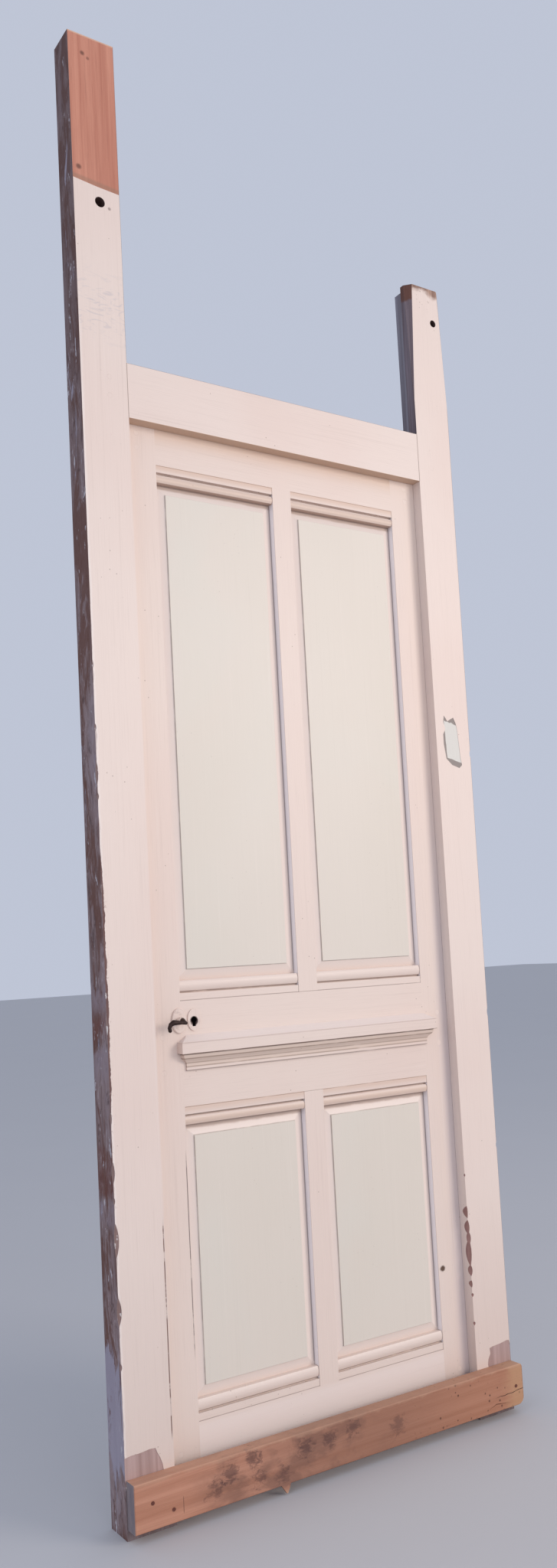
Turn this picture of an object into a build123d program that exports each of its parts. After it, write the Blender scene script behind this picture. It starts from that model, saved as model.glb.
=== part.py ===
from build123d import *
import os

# A painted panelled door leaf in its timber frame, as it stands once taken out of a wall.
# Millimetres. X runs to the right, Y away from the viewer and Z up. The origin is on the floor,
# midway between the posts, in the plane of the frame's front face. The leaf opens away, to +Y.

# Frame timber
clear_width = 700            # between the stops of the two posts
clear_height = 1976          # floor to the underside of the head rail
post_face = 94               # a post's width seen from the front
head_face = 106              # the head rail's height
left_post_height = 2712      # the horns run on past the head rail
right_post_height = 2430
stop_depth = 24              # thickness of the stop in front of the leaf
rebate_side = 15             # how far the rebate bites into a post and into the head rail
head_tenon_length = 58
head_tenon_thick = 20
head_tenon_haunch = 16
horn_wane = {"inner": 14, "outer": 10}    # rounded-off arrises at the right horn's top
horn_wane_end = 2150         # height at which they run out
horn_break = (12, 16)        # broken outer corner of the right horn's top: across and down

# Fixing holes near the tops of the horns
left_hole_radius = 10
left_hole_inset = 53         # from the post's outer side
left_hole_height = 2386
right_hole_radius = 8
right_hole_inset = 26
right_hole_height = 2351

# Batten over the feet
batten_height = 80
batten_thick = 28
batten_floor_gap = 18
batten_left_inset = 2
batten_right_overhang = 4
nail_radius = 1.6
nail_head_radius = 3.2
nail_head_thick = 1
nail_bite = 32               # how far a nail reaches into a post
left_nails = ((36, 44), (75, 23))    # in from the post's outer side, up from the batten's foot
right_nails = ((17, 39),)
batten_ease = 1.5            # its worn front arrises
batten_top_round = 8         # the right end's corners
batten_foot_round = 15
splinter_outline = ((-155, 4), (-131, 4), (-134, -5), (-139, -15), (-141, -15), (-147, -6))
splinter_thick = 5           # its outline is x, and up from the batten's foot
crack_outline = ((350, 9), (371, 16.4), (413, 10), (371, 14.8))
crack_depth = 6              # the same for the crack

# Wear of the posts' paint and arrises, in from a post's outer side and up from the floor
paint_thick = 0.7            # depth of a place where the paint is gone
left_tear = ((-1, 134), (12, 136), (30, 136), (48, 138), (59, 137), (62, 129), (67, 120), (71, 109),
             (75, 88), (-1, 88))
right_tear = ((-1, 126), (3, 139), (9, 140), (29, 137), (48, 136), (57, 134), (56, 123), (62, 113),
              (64, 103), (61, 88), (-1, 88))
flake_outline = ((69, 1459), (60, 1447), (53, 1451), (43, 1456), (37, 1444), (34, 1433), (29, 1368),
                 (26, 1353), (34, 1346), (54, 1352), (69, 1365), (74, 1396), (74, 1418), (67, 1430),
                 (72, 1445))
bare_top = ((-1, 2420), (46, 2415), (95, 2412))    # where the paint of the left horn ends

# Chips along the arrises: middle height, length, reach over the front, reach over the side
left_outer_chips = (
    (1500, 16, 2, 4), (1386, 16, 3, 4), (1304, 46, 3, 6), (1262, 14, 2.5, 4), (1100, 20, 2, 4),
    (912, 14, 3, 4), (860, 40, 2.5, 5), (700, 24, 2.5, 4), (608, 42, 4, 6), (560, 14, 2.5, 4),
    (493, 64, 7, 6), (374, 52, 6.5, 7), (283, 14, 3, 4),
)
right_inner_chips = (
    (490, 7, 2, 4), (415, 28, 2, 17), (384, 32, 4, 13), (362, 30, 6, 8), (333, 60, 5.5, 13),
    (297, 24, 5, 10), (270, 16, 2.5, 11), (248, 8, 4, 4), (191, 8, 4, 4),
)
right_outer_chips = ((1378, 16, 2.5, 3), (820, 20, 2, 3), (540, 14, 2, 3))

# Leaf timber
leaf_thick = 37
leaf_gap = 2                 # leaf to rebate, at both sides and the head
stop_gap = 0.5               # leaf's face to the stop
floor_gap = 8
stile_width = 78
muntin_width = 44
top_rail_height = 83
lock_rail_height = 191
bottom_rail_height = 140
lock_over_rail_middle = 60   # lock's height over the middle of the lock rail
tenon_length = 60
tenon_thick = 12
tenon_haunch = 20
muntin_tenon_length = 30
muntin_tenon_width = 16
peg_radius = 5
wood_fit = 0.1               # all round a tenon, peg, nail or screw

# Raised panels
reveal_depth = 15            # leaf's face to the tongue's face
tongue_thick = 8
groove_depth = 12
tongue_length = 10.5
groove_fit = 0.2             # on each face of a tongue
field_set = 6                # leaf's face to the raised field
field_step = 2.5
bevel_width = 21

# Mouldings
strip_fillet = 14            # flush with the leaf's face, against the rail
strip_quirk = 4
strip_quirk_depth = 7
cornice_nose = 15
sill_nose = 19
strip_nose_set = 0.5         # leaf's face to the crown of the nose
strip_nose_round = 2.5
rail_moulding_under_lock = 27    # top of the broad moulding below the lock's height
rail_moulding_height = 64
rail_moulding_projection = 20
rail_moulding_slope = 13
rail_moulding_nose = 20
rail_moulding_foot_fillet = 7
rail_moulding_foot_projection = 4
rail_moulding_neck = 14.4    # projection of the ogee's top
rail_moulding_left_inset = 10    # stile's edge to the back of the left return
brad_radius = 0.8
brad_length = 20
brad_bite = 14               # in the timber behind the moulding
brad_end = 30                # in from a moulding's ends
brad_in_quirk = 3.5          # leaf's face to the brads that hold the strips

# Handle and rim lock
lock_height = 856            # spindle, keyhole and lock case share this height
spindle_backset = 73         # from the leaf's lock edge
key_backset = 104
spindle_square = 7
spindle_fit = 0.1
spindle_end_play = 0.5
spindle_hole_radius = 8
rose_hole_radius = 6
key_eye_radius = 6
key_slot_width = 7
key_slot_drop = 12           # from the eye's centre to the foot of the slot
key_play = 1                 # hole in the timber, round the plate's keyhole
rose_width = 30
rose_height = 46
rose_thick = 4
rose_edge = 1.2
key_plate_width = 26
key_plate_height = 40
key_plate_thick = 2.5
lever_hub_radius = 6.5
lever_hub_length = 10
lever_links = (              # the neck and the bar: left of the spindle, out of the hub's foot, up, radius
    (0, 10, 0, 5.4), (0, 17, -1, 3.5), (0, 24, -3.5, 2.9), (8, 24, -2.5, 3.0), (16, 24, -1.5, 4.0),
    (25, 24, -1, 5.0), (31, 24, -4, 4.0), (34, 24, -10, 3.3), (33, 24, -15, 3.4),
)
spindle_in_lever = 9         # how far the spindle reaches into each hub
lever_run = 0.3              # hub to rose, and hub to follower
lock_case_width = 140
lock_case_height = 80
lock_case_depth = 20
sheet_thick = 2
bolt_thick = 10
bolt_set = 3                 # bolts' near face to the leaf's back
bolt_run = 0.3               # round a bolt in its mouth
latch_low = 28               # latch head below the spindle's height, low and high edges
latch_high = 11
latch_head_length = 32
latch_tail_height = 6
latch_throw = 12             # how far the latch stands out of the case
latch_travel = 12
latch_lug_thick = 6
latch_lug_height = 10
latch_bevel = 7
bolt_low = 11                # dead bolt above the spindle's height, low and high edges
bolt_high = 27
bolt_length = 112
bolt_travel = 14
talon_width = 16
talon_depth = 6
follower_radius = 9
follower_run = 0.1
follower_arm = 21            # reach of the follower's arm
follower_arm_width = 6
follower_arm_set = 1         # arm's faces in from the bolts' faces
arm_play = 0.3               # arm to the latch's lug, and spring to the lug
stump_radius = 3
stump_inset = 58             # from the leaf's lock edge
spring_strip = 0.8
spring_width = 6
spring_rise = 24
spring_block = 5
pillar_radius = 4
lock_screw_inset = 9
lock_screw_drops = (33, 24)    # from the lock's height: at the leaf's edge, at the case's far end
lock_screw_bite = 13

# Keeper on the frame's back
keeper_width = 36
keeper_wall = 2.5
keeper_play = 1
keeper_ear = 20
keeper_ear_thick = 3
keeper_height = 86

# Screws
screw_radius = 2
screw_head_radius = 4
hinge_screw_bite = 24

# Lift-off hinges
hinge_height = 140
hinge_blade = 30
hinge_plate = 3
hinge_barrel_radius = 7
hinge_pin_radius = 4.5
hinge_pin_length = 42
hinge_pin_run = 0.05
hinge_ring_thick = 2
hinge_clear = 0.5            # barrel to the timber behind it
hinge_lift = 0.2             # upper barrel over its ring
hinge_off_rail = 98          # a rail's edge to the middle of the hinge beside it
hinge_screw_inset = 20       # from a blade's ends
hinge_chamfer = 1

past = 1                     # how far a cutting shape runs past the face it cuts

# Derived places of the frame
frame_depth = stop_depth + stop_gap + leaf_thick
half_clear = clear_width / 2
left_outside = -half_clear - post_face
right_outside = half_clear + post_face
rebate_x = half_clear + rebate_side
head_bottom = clear_height
head_top = clear_height + head_face

# Derived places of the leaf
leaf_front = stop_depth + stop_gap
leaf_back = frame_depth
leaf_right = rebate_x - leaf_gap
leaf_left = -leaf_right
leaf_bottom = floor_gap
leaf_top = clear_height + rebate_side - leaf_gap
stile_left = leaf_left + stile_width
stile_right = leaf_right - stile_width
lower_bottom = leaf_bottom + bottom_rail_height
lower_top = lock_height - lock_over_rail_middle - lock_rail_height / 2
upper_bottom = lower_top + lock_rail_height
upper_top = leaf_top - top_rail_height
columns = {"left": (stile_left, -muntin_width / 2), "right": (muntin_width / 2, stile_right)}
rows = {"upper": (upper_bottom, upper_top), "lower": (lower_bottom, lower_top)}
cornice_height = strip_fillet + strip_quirk + cornice_nose
sill_height = strip_fillet + strip_quirk + sill_nose
tongue_front = leaf_front + reveal_depth
tongue_back = tongue_front + tongue_thick
tongue_middle = (tongue_front + tongue_back) / 2
tenon_front = tongue_middle - tenon_thick / 2
tenon_back = tongue_middle + tenon_thick / 2

# Derived places of the lock and of the moulding under it
rail_moulding_foot = lock_height - rail_moulding_under_lock - rail_moulding_height
rail_moulding_left = stile_left + rail_moulding_left_inset
spindle_x = leaf_left + spindle_backset
key_x = leaf_left + key_backset
case_right = leaf_left + lock_case_width
case_back = leaf_back + lock_case_depth
bolt_front = leaf_back + bolt_set
bolt_back = bolt_front + bolt_thick
hub_end = case_back + sheet_thick
front_hub_start = leaf_front - rose_thick - lever_run
rear_hub_start = hub_end + lever_run
keeper_right = -rebate_x
keeper_low = lock_height - keeper_height / 2
keeper_high = lock_height + keeper_height / 2
keeper_left = keeper_right - keeper_width
keeper_back = bolt_back + keeper_play + keeper_wall

# Derived places of the hinges
hinge_x = rebate_x - leaf_gap / 2
hinge_y = frame_depth + hinge_clear + hinge_barrel_radius
hinge_heights = {
    "bottom": lower_bottom + hinge_off_rail,
    "middle": upper_bottom + hinge_off_rail,
    "top": upper_top - hinge_off_rail,
}
hinge_screw_drops = (-hinge_height / 2 + hinge_screw_inset, 0, hinge_height / 2 - hinge_screw_inset)
hinge_screw_y = frame_depth - hinge_blade / 2

nodes = {}
END_ON = (Align.CENTER, Align.CENTER, Align.MIN)


def keep(name, part):
    """Labels a finished piece and keeps it for export."""
    part.label = name
    nodes[name] = part


def block(x, y, z, mode=Mode.ADD):
    """A box between two limits along each axis."""
    with Locations(((x[0] + x[1]) / 2, (y[0] + y[1]) / 2, (z[0] + z[1]) / 2)):
        Box(x[1] - x[0], y[1] - y[0], z[1] - z[0], mode=mode)


def rod(axis, centre, start, end, radius, mode=Mode.ADD):
    """A cylinder along an axis. centre gives the two other coordinates."""
    middle = (start + end) / 2
    place, turn = {
        "X": ((middle, centre[0], centre[1]), (0, 90, 0)),
        "Y": ((centre[0], middle, centre[1]), (90, 0, 0)),
        "Z": ((centre[0], centre[1], middle), (0, 0, 0)),
    }[axis]
    with Locations(place):
        Cylinder(radius, abs(end - start), rotation=turn, mode=mode)


# Pegs, nails and screws: where they are decides the holes in the timber
rail_spans = {
    "top": (upper_top, leaf_top),
    "lock": (lower_top, upper_bottom),
    "bottom": (leaf_bottom, lower_bottom),
}
peg_columns = (leaf_left + stile_width / 2, leaf_right - stile_width / 2)


def peg_heights(low, high):
    """Two pegs in each tenon, a third of the rail's height apart."""
    return ((2 * low + high) / 3, (low + 2 * high) / 3)


leaf_peg_places = [(x, z) for x in peg_columns for span in rail_spans.values() for z in peg_heights(*span)]
frame_peg_x = half_clear + rebate_side + (head_tenon_length - rebate_side) / 2
frame_peg_places = [(x, z) for x in (-frame_peg_x, frame_peg_x) for z in peg_heights(head_bottom, head_top)]
batten_low = batten_floor_gap
batten_high = batten_floor_gap + batten_height
batten_left = left_outside + batten_left_inset
batten_right = right_outside + batten_right_overhang
left_nail_places = [(left_outside + inset, batten_low + rise) for inset, rise in left_nails]
right_nail_places = [(right_outside - inset, batten_low + rise) for inset, rise in right_nails]
nail_places = left_nail_places + right_nail_places
lock_screw_places = [
    (x, lock_height + side * drop)
    for x, drop in zip((leaf_left + lock_screw_inset, case_right - lock_screw_inset), lock_screw_drops)
    for side in (-1, 1)
]
keeper_screw_places = [
    ((keeper_left + keeper_right) / 2, lock_height + side * (keeper_height + keeper_ear) / 2)
    for side in (-1, 1)
]


def front_plane(y, x=0, z=0):
    """A plane that faces the viewer, its x and y along the object's X and Z."""
    return Plane(origin=(x, y, z), x_dir=(1, 0, 0), z_dir=(0, -1, 0))


def section_plane(x, y, z):
    """A plane across X for a moulding's section: x towards the viewer, y up, facing -X."""
    return Plane(origin=(x, y, z), x_dir=(0, -1, 0), z_dir=(-1, 0, 0))


def screws(places, facing, bite):
    """Countersunk screws in the piece being built, from the middle of each head's face."""
    with Locations(*[Plane(origin=place, z_dir=facing) for place in places]):
        Cone(screw_head_radius, screw_radius, screw_head_radius - screw_radius, align=END_ON)
        Cylinder(screw_radius, bite, align=END_ON)


def screw_holes(places, facing, bite):
    """The clearance holes of such screws, cut out of the piece being built."""
    grown_head = screw_head_radius + wood_fit
    grown_shank = screw_radius + wood_fit
    with Locations(*[Plane(origin=place, z_dir=facing) for place in places]):
        Cone(grown_head, grown_shank, grown_head - grown_shank, align=END_ON, mode=Mode.SUBTRACT)
        Cylinder(grown_shank, bite + wood_fit, align=END_ON, mode=Mode.SUBTRACT)


def drill(places, start, end, radius):
    """Round holes along Y in the piece being built."""
    for place in places:
        rod("Y", place, start, end, radius, mode=Mode.SUBTRACT)


def panel_grooves():
    """Cuts the groove round each panel opening out of the member being built."""
    for x in columns.values():
        for z in rows.values():
            block(
                (x[0] - groove_depth, x[1] + groove_depth),
                (tongue_front - groove_fit, tongue_back + groove_fit),
                (z[0] - groove_depth, z[1] + groove_depth),
                mode=Mode.SUBTRACT,
            )


def grown(span, by):
    """A span of two limits, longer by the same amount at both ends."""
    return (span[0] - by, span[1] + by)


def post_profile(side):
    """The section of a post: a rectangle with the leaf's rebate out of its inner back corner."""
    inside = side * half_clear
    outside = side * (half_clear + post_face)
    with BuildLine() as outline:
        Polyline(
            (inside, 0),
            (outside, 0),
            (outside, frame_depth),
            (side * rebate_x, frame_depth),
            (side * rebate_x, stop_depth),
            (inside, stop_depth),
            close=True,
        )
    make_face(outline.edges())


def head_mortise(side):
    """The mortise for the head rail's tenon in the post being built."""
    inside = side * half_clear
    bottom = side * (half_clear + head_tenon_length + wood_fit)
    block(
        (min(inside, bottom), max(inside, bottom)),
        grown(head_tenon_y, wood_fit),
        grown(head_tenon_z, wood_fit),
        mode=Mode.SUBTRACT,
    )


def strip_paint(side, outline):
    """Takes the paint's thickness off a post's front. The outline is given in from its outer side."""
    corners = [(side * (half_clear + post_face - inset), height) for inset, height in outline]
    with BuildSketch(front_plane(paint_thick)) as patch:
        Polygon(*corners, align=None)
    extrude(patch.sketch, amount=paint_thick + past, mode=Mode.SUBTRACT)


def chip(corner, first, second, length):
    """A hollow knocked out of an arris. first and second reach from the corner along its two faces."""
    first, second = Vector(first), Vector(second)
    across = (first - second).normalized()
    inward = first - across * first.dot(across)
    depth = inward.length
    radius = (length**2 / 4 + depth**2) / (2 * depth)
    centre = Vector(corner) + inward.normalized() * (depth - radius)
    with Locations(Plane(origin=centre, x_dir=(0, 0, 1), z_dir=across)):
        Cylinder(radius, 3 * (first.length + second.length), mode=Mode.SUBTRACT)


head_tenon_y = (stop_depth - head_tenon_thick / 2, stop_depth + head_tenon_thick / 2)
head_tenon_z = (head_bottom + rebate_side + head_tenon_haunch, head_top - head_tenon_haunch)

# Left post: the lock side, with the long horn
with BuildPart() as left_post:
    with BuildSketch():
        post_profile(-1)
    extrude(amount=left_post_height)
    head_mortise(-1)
    drill([(left_outside + left_hole_inset, left_hole_height)], -past, frame_depth + past, left_hole_radius)
    drill(left_nail_places, -past, nail_bite + wood_fit, nail_radius + wood_fit)
    drill(frame_peg_places[:2], -past, frame_depth + past, peg_radius + wood_fit)
    drill(keeper_screw_places, frame_depth - lock_screw_bite - wood_fit, frame_depth + past,
          screw_radius + wood_fit)
    strip_paint(-1, left_tear)
    strip_paint(-1, bare_top + ((95, left_post_height + past), (-1, left_post_height + past)))
    for middle, length, front, side in left_outer_chips:
        chip((left_outside, 0, middle), (front, 0, 0), (0, side, 0), length)
keep("left_post", left_post.part)

# Right post: the hinge side, with hinge seats let into the rebate and waney arrises on the horn
with BuildPart() as right_post:
    with BuildSketch():
        post_profile(1)
    extrude(amount=right_post_height)
    head_mortise(1)
    drill([(right_outside - right_hole_inset, right_hole_height)], -past, frame_depth + past,
          right_hole_radius)
    drill(right_nail_places, -past, nail_bite + wood_fit, nail_radius + wood_fit)
    drill(frame_peg_places[2:], -past, frame_depth + past, peg_radius + wood_fit)
    for height in hinge_heights.values():
        block(
            (rebate_x - past, rebate_x + hinge_plate + wood_fit),
            (frame_depth - hinge_blade - wood_fit, frame_depth + past),
            grown((height - hinge_height / 2, height + hinge_height / 2), wood_fit),
            mode=Mode.SUBTRACT,
        )
        for drop in hinge_screw_drops:
            rod("X", (hinge_screw_y, height + drop), rebate_x, rebate_x + hinge_screw_bite + wood_fit,
                screw_radius + wood_fit, mode=Mode.SUBTRACT)
    for edge_x, inward, wane in (
        (half_clear, 1, horn_wane["inner"]),
        (right_outside, -1, horn_wane["outer"]),
    ):
        corner = Vector(edge_x + inward * wane, 0, right_post_height)
        across = Vector(-inward * wane, wane, 0)
        down = Vector(edge_x, 0, horn_wane_end) - corner
        with BuildSketch(Plane(origin=corner, x_dir=across, z_dir=across.cross(down) * inward)):
            Rectangle(8 * wane, 2 * (right_post_height - horn_wane_end) + 8 * wane)
        extrude(amount=2 * wane, mode=Mode.SUBTRACT)
    with BuildSketch(front_plane(frame_depth + past, right_outside, right_post_height)):
        Polygon((-horn_break[0], 0), (0, -horn_break[1]), (past, 0), align=None)
    extrude(amount=frame_depth + 2 * past, mode=Mode.SUBTRACT)
    strip_paint(1, right_tear)
    strip_paint(1, flake_outline)
    for middle, length, front, side in right_inner_chips:
        chip((half_clear, 0, middle), (front, 0, 0), (0, side, 0), length)
    for middle, length, front, side in right_outer_chips:
        chip((right_outside, 0, middle), (-front, 0, 0), (0, side, 0), length)
keep("right_post", right_post.part)

# Head rail: rebated like the posts, its shoulders scribed into their rebates
with BuildPart() as head_rail:
    block((-half_clear, half_clear), (0, stop_depth), (head_bottom, head_top))
    block((-rebate_x, rebate_x), (stop_depth, frame_depth), (head_bottom + rebate_side, head_top))
    block((-half_clear - head_tenon_length, half_clear + head_tenon_length), head_tenon_y, head_tenon_z)
    drill(frame_peg_places, -past, frame_depth + past, peg_radius + wood_fit)
keep("head_rail", head_rail.part)

with BuildPart() as frame_pegs:
    for place in frame_peg_places:
        rod("Y", place, 0, frame_depth, peg_radius)
keep("frame_pegs", frame_pegs.part)

# Batten nailed over the feet
with BuildPart() as tie_batten:
    block((batten_left, batten_right), (-batten_thick, 0), (batten_low, batten_high))
    for corner, rounding in ((0, batten_foot_round), (-1, batten_top_round)):
        end_face = tie_batten.faces().sort_by(Axis.X)[-1]
        fillet(end_face.edges().filter_by(Axis.Y).sort_by(Axis.Z)[corner], rounding)
    chamfer(tie_batten.faces().sort_by(Axis.Y)[0].edges(), batten_ease)
    with BuildSketch(front_plane(splinter_thick - batten_thick, 0, batten_low)):
        Polygon(*splinter_outline, align=None)
    extrude(amount=splinter_thick)
    with BuildSketch(front_plane(crack_depth - batten_thick, 0, batten_low)):
        Polygon(*crack_outline, align=None)
    extrude(amount=crack_depth + past, mode=Mode.SUBTRACT)
    drill(nail_places, -batten_thick - past, past, nail_radius + wood_fit)
keep("tie_batten", tie_batten.part)

with BuildPart() as batten_nails:
    for place in nail_places:
        rod("Y", place, -batten_thick, nail_bite, nail_radius)
        rod("Y", place, -batten_thick - nail_head_thick, -batten_thick, nail_head_radius)
keep("batten_nails", batten_nails.part)


# Brads of the mouldings. A strip's are driven from its quirk through the fillet into the
# rail; way is 1 where the strip stands on the rail and -1 where it hangs under it.
rail_moulding_brads = [
    (x, rail_moulding_foot + rail_moulding_height / 2)
    for x in (stile_left + brad_end, 0, stile_right - brad_end)
]
strip_brad_places = [
    (x, edge, way)
    for column in columns.values()
    for x in grown(column, -brad_end)
    for row in rows.values()
    for edge, way in ((row[0], 1), (row[1], -1))
]


def strip_brads(places, grow=0, mode=Mode.ADD):
    """The strips' brads, or the holes for them, in the piece being built."""
    for x, edge, way in places:
        head, tip = edge + way * (strip_fillet + grow), edge - way * (brad_bite + grow)
        rod("Z", (x, leaf_front + brad_in_quirk), head, tip, brad_radius + grow, mode=mode)


def tenon_span(span):
    """The height of a rail's tenon, clear of the grooves."""
    return (span[0] + tenon_haunch, span[1] - tenon_haunch)


def make_stile(side):
    """A full-height stile with its grooves, mortises and peg holes. side is -1 at the lock."""
    outer, inner = side * leaf_right, side * stile_right
    x = (min(outer, inner), max(outer, inner))
    root = inner + side * (tenon_length + wood_fit)
    with BuildPart() as stile:
        block(x, (leaf_front, leaf_back), (leaf_bottom, leaf_top))
        panel_grooves()
        for span in rail_spans.values():
            block(
                (min(inner, root), max(inner, root)),
                (tenon_front - wood_fit, tenon_back + wood_fit),
                grown(tenon_span(span), wood_fit),
                mode=Mode.SUBTRACT,
            )
        drill(leaf_peg_places, leaf_front - past, leaf_back + past, peg_radius + wood_fit)
        if side < 0:
            lock_holes()
        else:
            hinge_seats()
    return stile.part


def keyhole_shape(grow):
    """A round eye with a slot below it."""
    Circle(key_eye_radius + grow)
    with Locations((0, -key_slot_drop / 2)):
        Rectangle(key_slot_width + 2 * grow, key_slot_drop + 2 * grow)


def cut_keyhole(start, end, grow):
    """A keyhole through the piece being built, along Y."""
    with BuildSketch(front_plane(end, key_x, lock_height)) as hole:
        keyhole_shape(grow)
    extrude(hole.sketch, amount=end - start, mode=Mode.SUBTRACT)


def lock_holes():
    """Holes for the spindle, the key and the lock's screws in the member being built."""
    drill([(spindle_x, lock_height)], leaf_front - past, leaf_back + past, spindle_hole_radius)
    cut_keyhole(leaf_front - past, leaf_back + past, key_play)
    drill(lock_screw_places, leaf_back - lock_screw_bite - wood_fit, leaf_back + past,
          screw_radius + wood_fit)


def hinge_seats():
    """Seats for the hinges' leaf halves in the edge of the stile being built."""
    for height in hinge_heights.values():
        block(
            (leaf_right - hinge_plate - wood_fit, leaf_right + past),
            (frame_depth - hinge_blade - wood_fit, frame_depth + past),
            grown((height - hinge_height / 2, height + hinge_height / 2), wood_fit),
            mode=Mode.SUBTRACT,
        )
        for drop in hinge_screw_drops:
            rod("X", (hinge_screw_y, height + drop), leaf_right - hinge_screw_bite - wood_fit, leaf_right,
                screw_radius + wood_fit, mode=Mode.SUBTRACT)


muntin_mortise_x = (-muntin_tenon_width / 2, muntin_tenon_width / 2)


def muntin_tenons(row):
    """The height that a muntin takes with the tenons at its two ends."""
    return grown(rows[row], muntin_tenon_length)


def make_rail(name):
    """A rail with a tenon at each end, the panels' grooves and the muntins' mortises."""
    span = rail_spans[name]
    with BuildPart() as rail:
        block((stile_left, stile_right), (leaf_front, leaf_back), span)
        panel_grooves()
        block(grown((stile_left, stile_right), tenon_length), (tenon_front, tenon_back), tenon_span(span))
        for row in rows:
            block(
                grown(muntin_mortise_x, wood_fit),
                (tenon_front - wood_fit, tenon_back + wood_fit),
                grown(muntin_tenons(row), wood_fit),
                mode=Mode.SUBTRACT,
            )
        drill(leaf_peg_places, leaf_front - past, leaf_back + past, peg_radius + wood_fit)
        strip_brads([place for place in strip_brad_places if place[1] in span], wood_fit, Mode.SUBTRACT)
        if name == "lock":
            lock_holes()
            drill(rail_moulding_brads, leaf_front - past, leaf_front + brad_bite + wood_fit,
                  brad_radius + wood_fit)
    return rail.part


def make_muntin(row):
    """The upright between two panels, tenoned into the rails."""
    with BuildPart() as muntin:
        block((-muntin_width / 2, muntin_width / 2), (leaf_front, leaf_back), rows[row])
        panel_grooves()
        block(muntin_mortise_x, (tenon_front, tenon_back), muntin_tenons(row))
    return muntin.part


def make_panel(column, row):
    """A raised panel: a tongue all round, a sloping bevel and a flat field with a small step.

    Its tongue runs on behind the sill and the cornice into the rails' grooves.
    """
    x, opening = columns[column], rows[row]
    z = (opening[0] + sill_height, opening[1] - cornice_height)
    centre = ((x[0] + x[1]) / 2, (z[0] + z[1]) / 2)
    width, height = x[1] - x[0], z[1] - z[0]
    with BuildPart() as panel:
        block(grown(x, tongue_length), (tongue_front, tongue_back), grown(opening, tongue_length))
        with BuildSketch(front_plane(tongue_front)):
            with Locations(centre):
                Rectangle(width - 2 * wood_fit, height - 2 * wood_fit)
        with BuildSketch(front_plane(leaf_front + field_set + field_step)):
            with Locations(centre):
                Rectangle(width - 2 * bevel_width, height - 2 * bevel_width)
        loft()
        block(
            grown(x, -bevel_width),
            (leaf_front + field_set, leaf_front + field_set + field_step),
            grown(z, -bevel_width),
        )
    return panel.part


keep("lock_stile", make_stile(-1))
keep("hinge_stile", make_stile(1))
for rail_name in rail_spans:
    keep(rail_name + "_rail", make_rail(rail_name))
for row_name in rows:
    keep(row_name + "_muntin", make_muntin(row_name))
    for column_name in columns:
        keep(f"{row_name}_{column_name}_panel", make_panel(column_name, row_name))

with BuildPart() as leaf_pegs:
    for place in leaf_peg_places:
        rod("Y", place, leaf_front, leaf_back, peg_radius)
keep("leaf_pegs", leaf_pegs.part)


# Strips planted in the openings, in front of the panels' tongues
def strip_profile(nose, way):
    """A flush fillet, a quirk and a rounded nose that turns square back to the panel."""
    nose_start = strip_fillet + strip_quirk
    nose_end = nose_start + nose
    shoulder = strip_nose_set + strip_nose_round

    def at(depth, height):
        return (reveal_depth - depth, way * height)

    with BuildLine() as outline:
        Polyline(
            at(shoulder, nose_end),
            at(reveal_depth, nose_end),
            at(reveal_depth, 0),
            at(0, 0),
            at(0, strip_fillet),
            at(strip_quirk_depth, strip_fillet),
            at(strip_quirk_depth, nose_start),
            at(shoulder, nose_start),
        )
        ThreePointArc(
            at(shoulder, nose_start),
            at(strip_nose_set, nose_start + nose / 2),
            at(shoulder, nose_end),
        )
    make_face(outline.edges())


def rail_moulding_profile(start, side):
    """Sloping top, square nose and a deep ogee. side is 1 to draw it outwards, -1 mirrored."""
    nose_top = rail_moulding_height - rail_moulding_slope
    nose_low = nose_top - rail_moulding_nose
    out = rail_moulding_projection
    neck = rail_moulding_neck
    foot = rail_moulding_foot_projection

    def at(projection, height):
        return (start + side * projection, height)

    middle = ((neck + foot) / 2, (nose_low + rail_moulding_foot_fillet) / 2)
    bend = (nose_low - rail_moulding_foot_fillet) * 0.55
    with BuildLine() as outline:
        Polyline(at(0, 0), at(foot, 0), at(foot, rail_moulding_foot_fillet))
        RadiusArc(at(foot, rail_moulding_foot_fillet), at(*middle), side * bend)
        RadiusArc(at(*middle), at(neck, nose_low), -side * bend)
        Polyline(
            at(neck, nose_low),
            at(out, nose_low),
            at(out, nose_top),
            at(0, rail_moulding_height),
            at(0, 0),
        )
    make_face(outline.edges())


def make_strip(x, edge, nose, way):
    """A strip between two uprights, its fillet against a rail's edge."""
    with BuildPart() as strip:
        with BuildSketch(section_plane(x[0], tongue_front, edge)):
            strip_profile(nose, way)
        extrude(amount=x[1] - x[0], dir=(1, 0, 0))
        strip_brads([(end, edge, way) for end in grown(x, -brad_end)], wood_fit, Mode.SUBTRACT)
    return strip.part


for row_name, row in rows.items():
    for column_name, column in columns.items():
        keep(f"{row_name}_{column_name}_cornice", make_strip(column, row[1], cornice_nose, -1))
        keep(f"{row_name}_{column_name}_sill", make_strip(column, row[0], sill_nose, 1))

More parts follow.
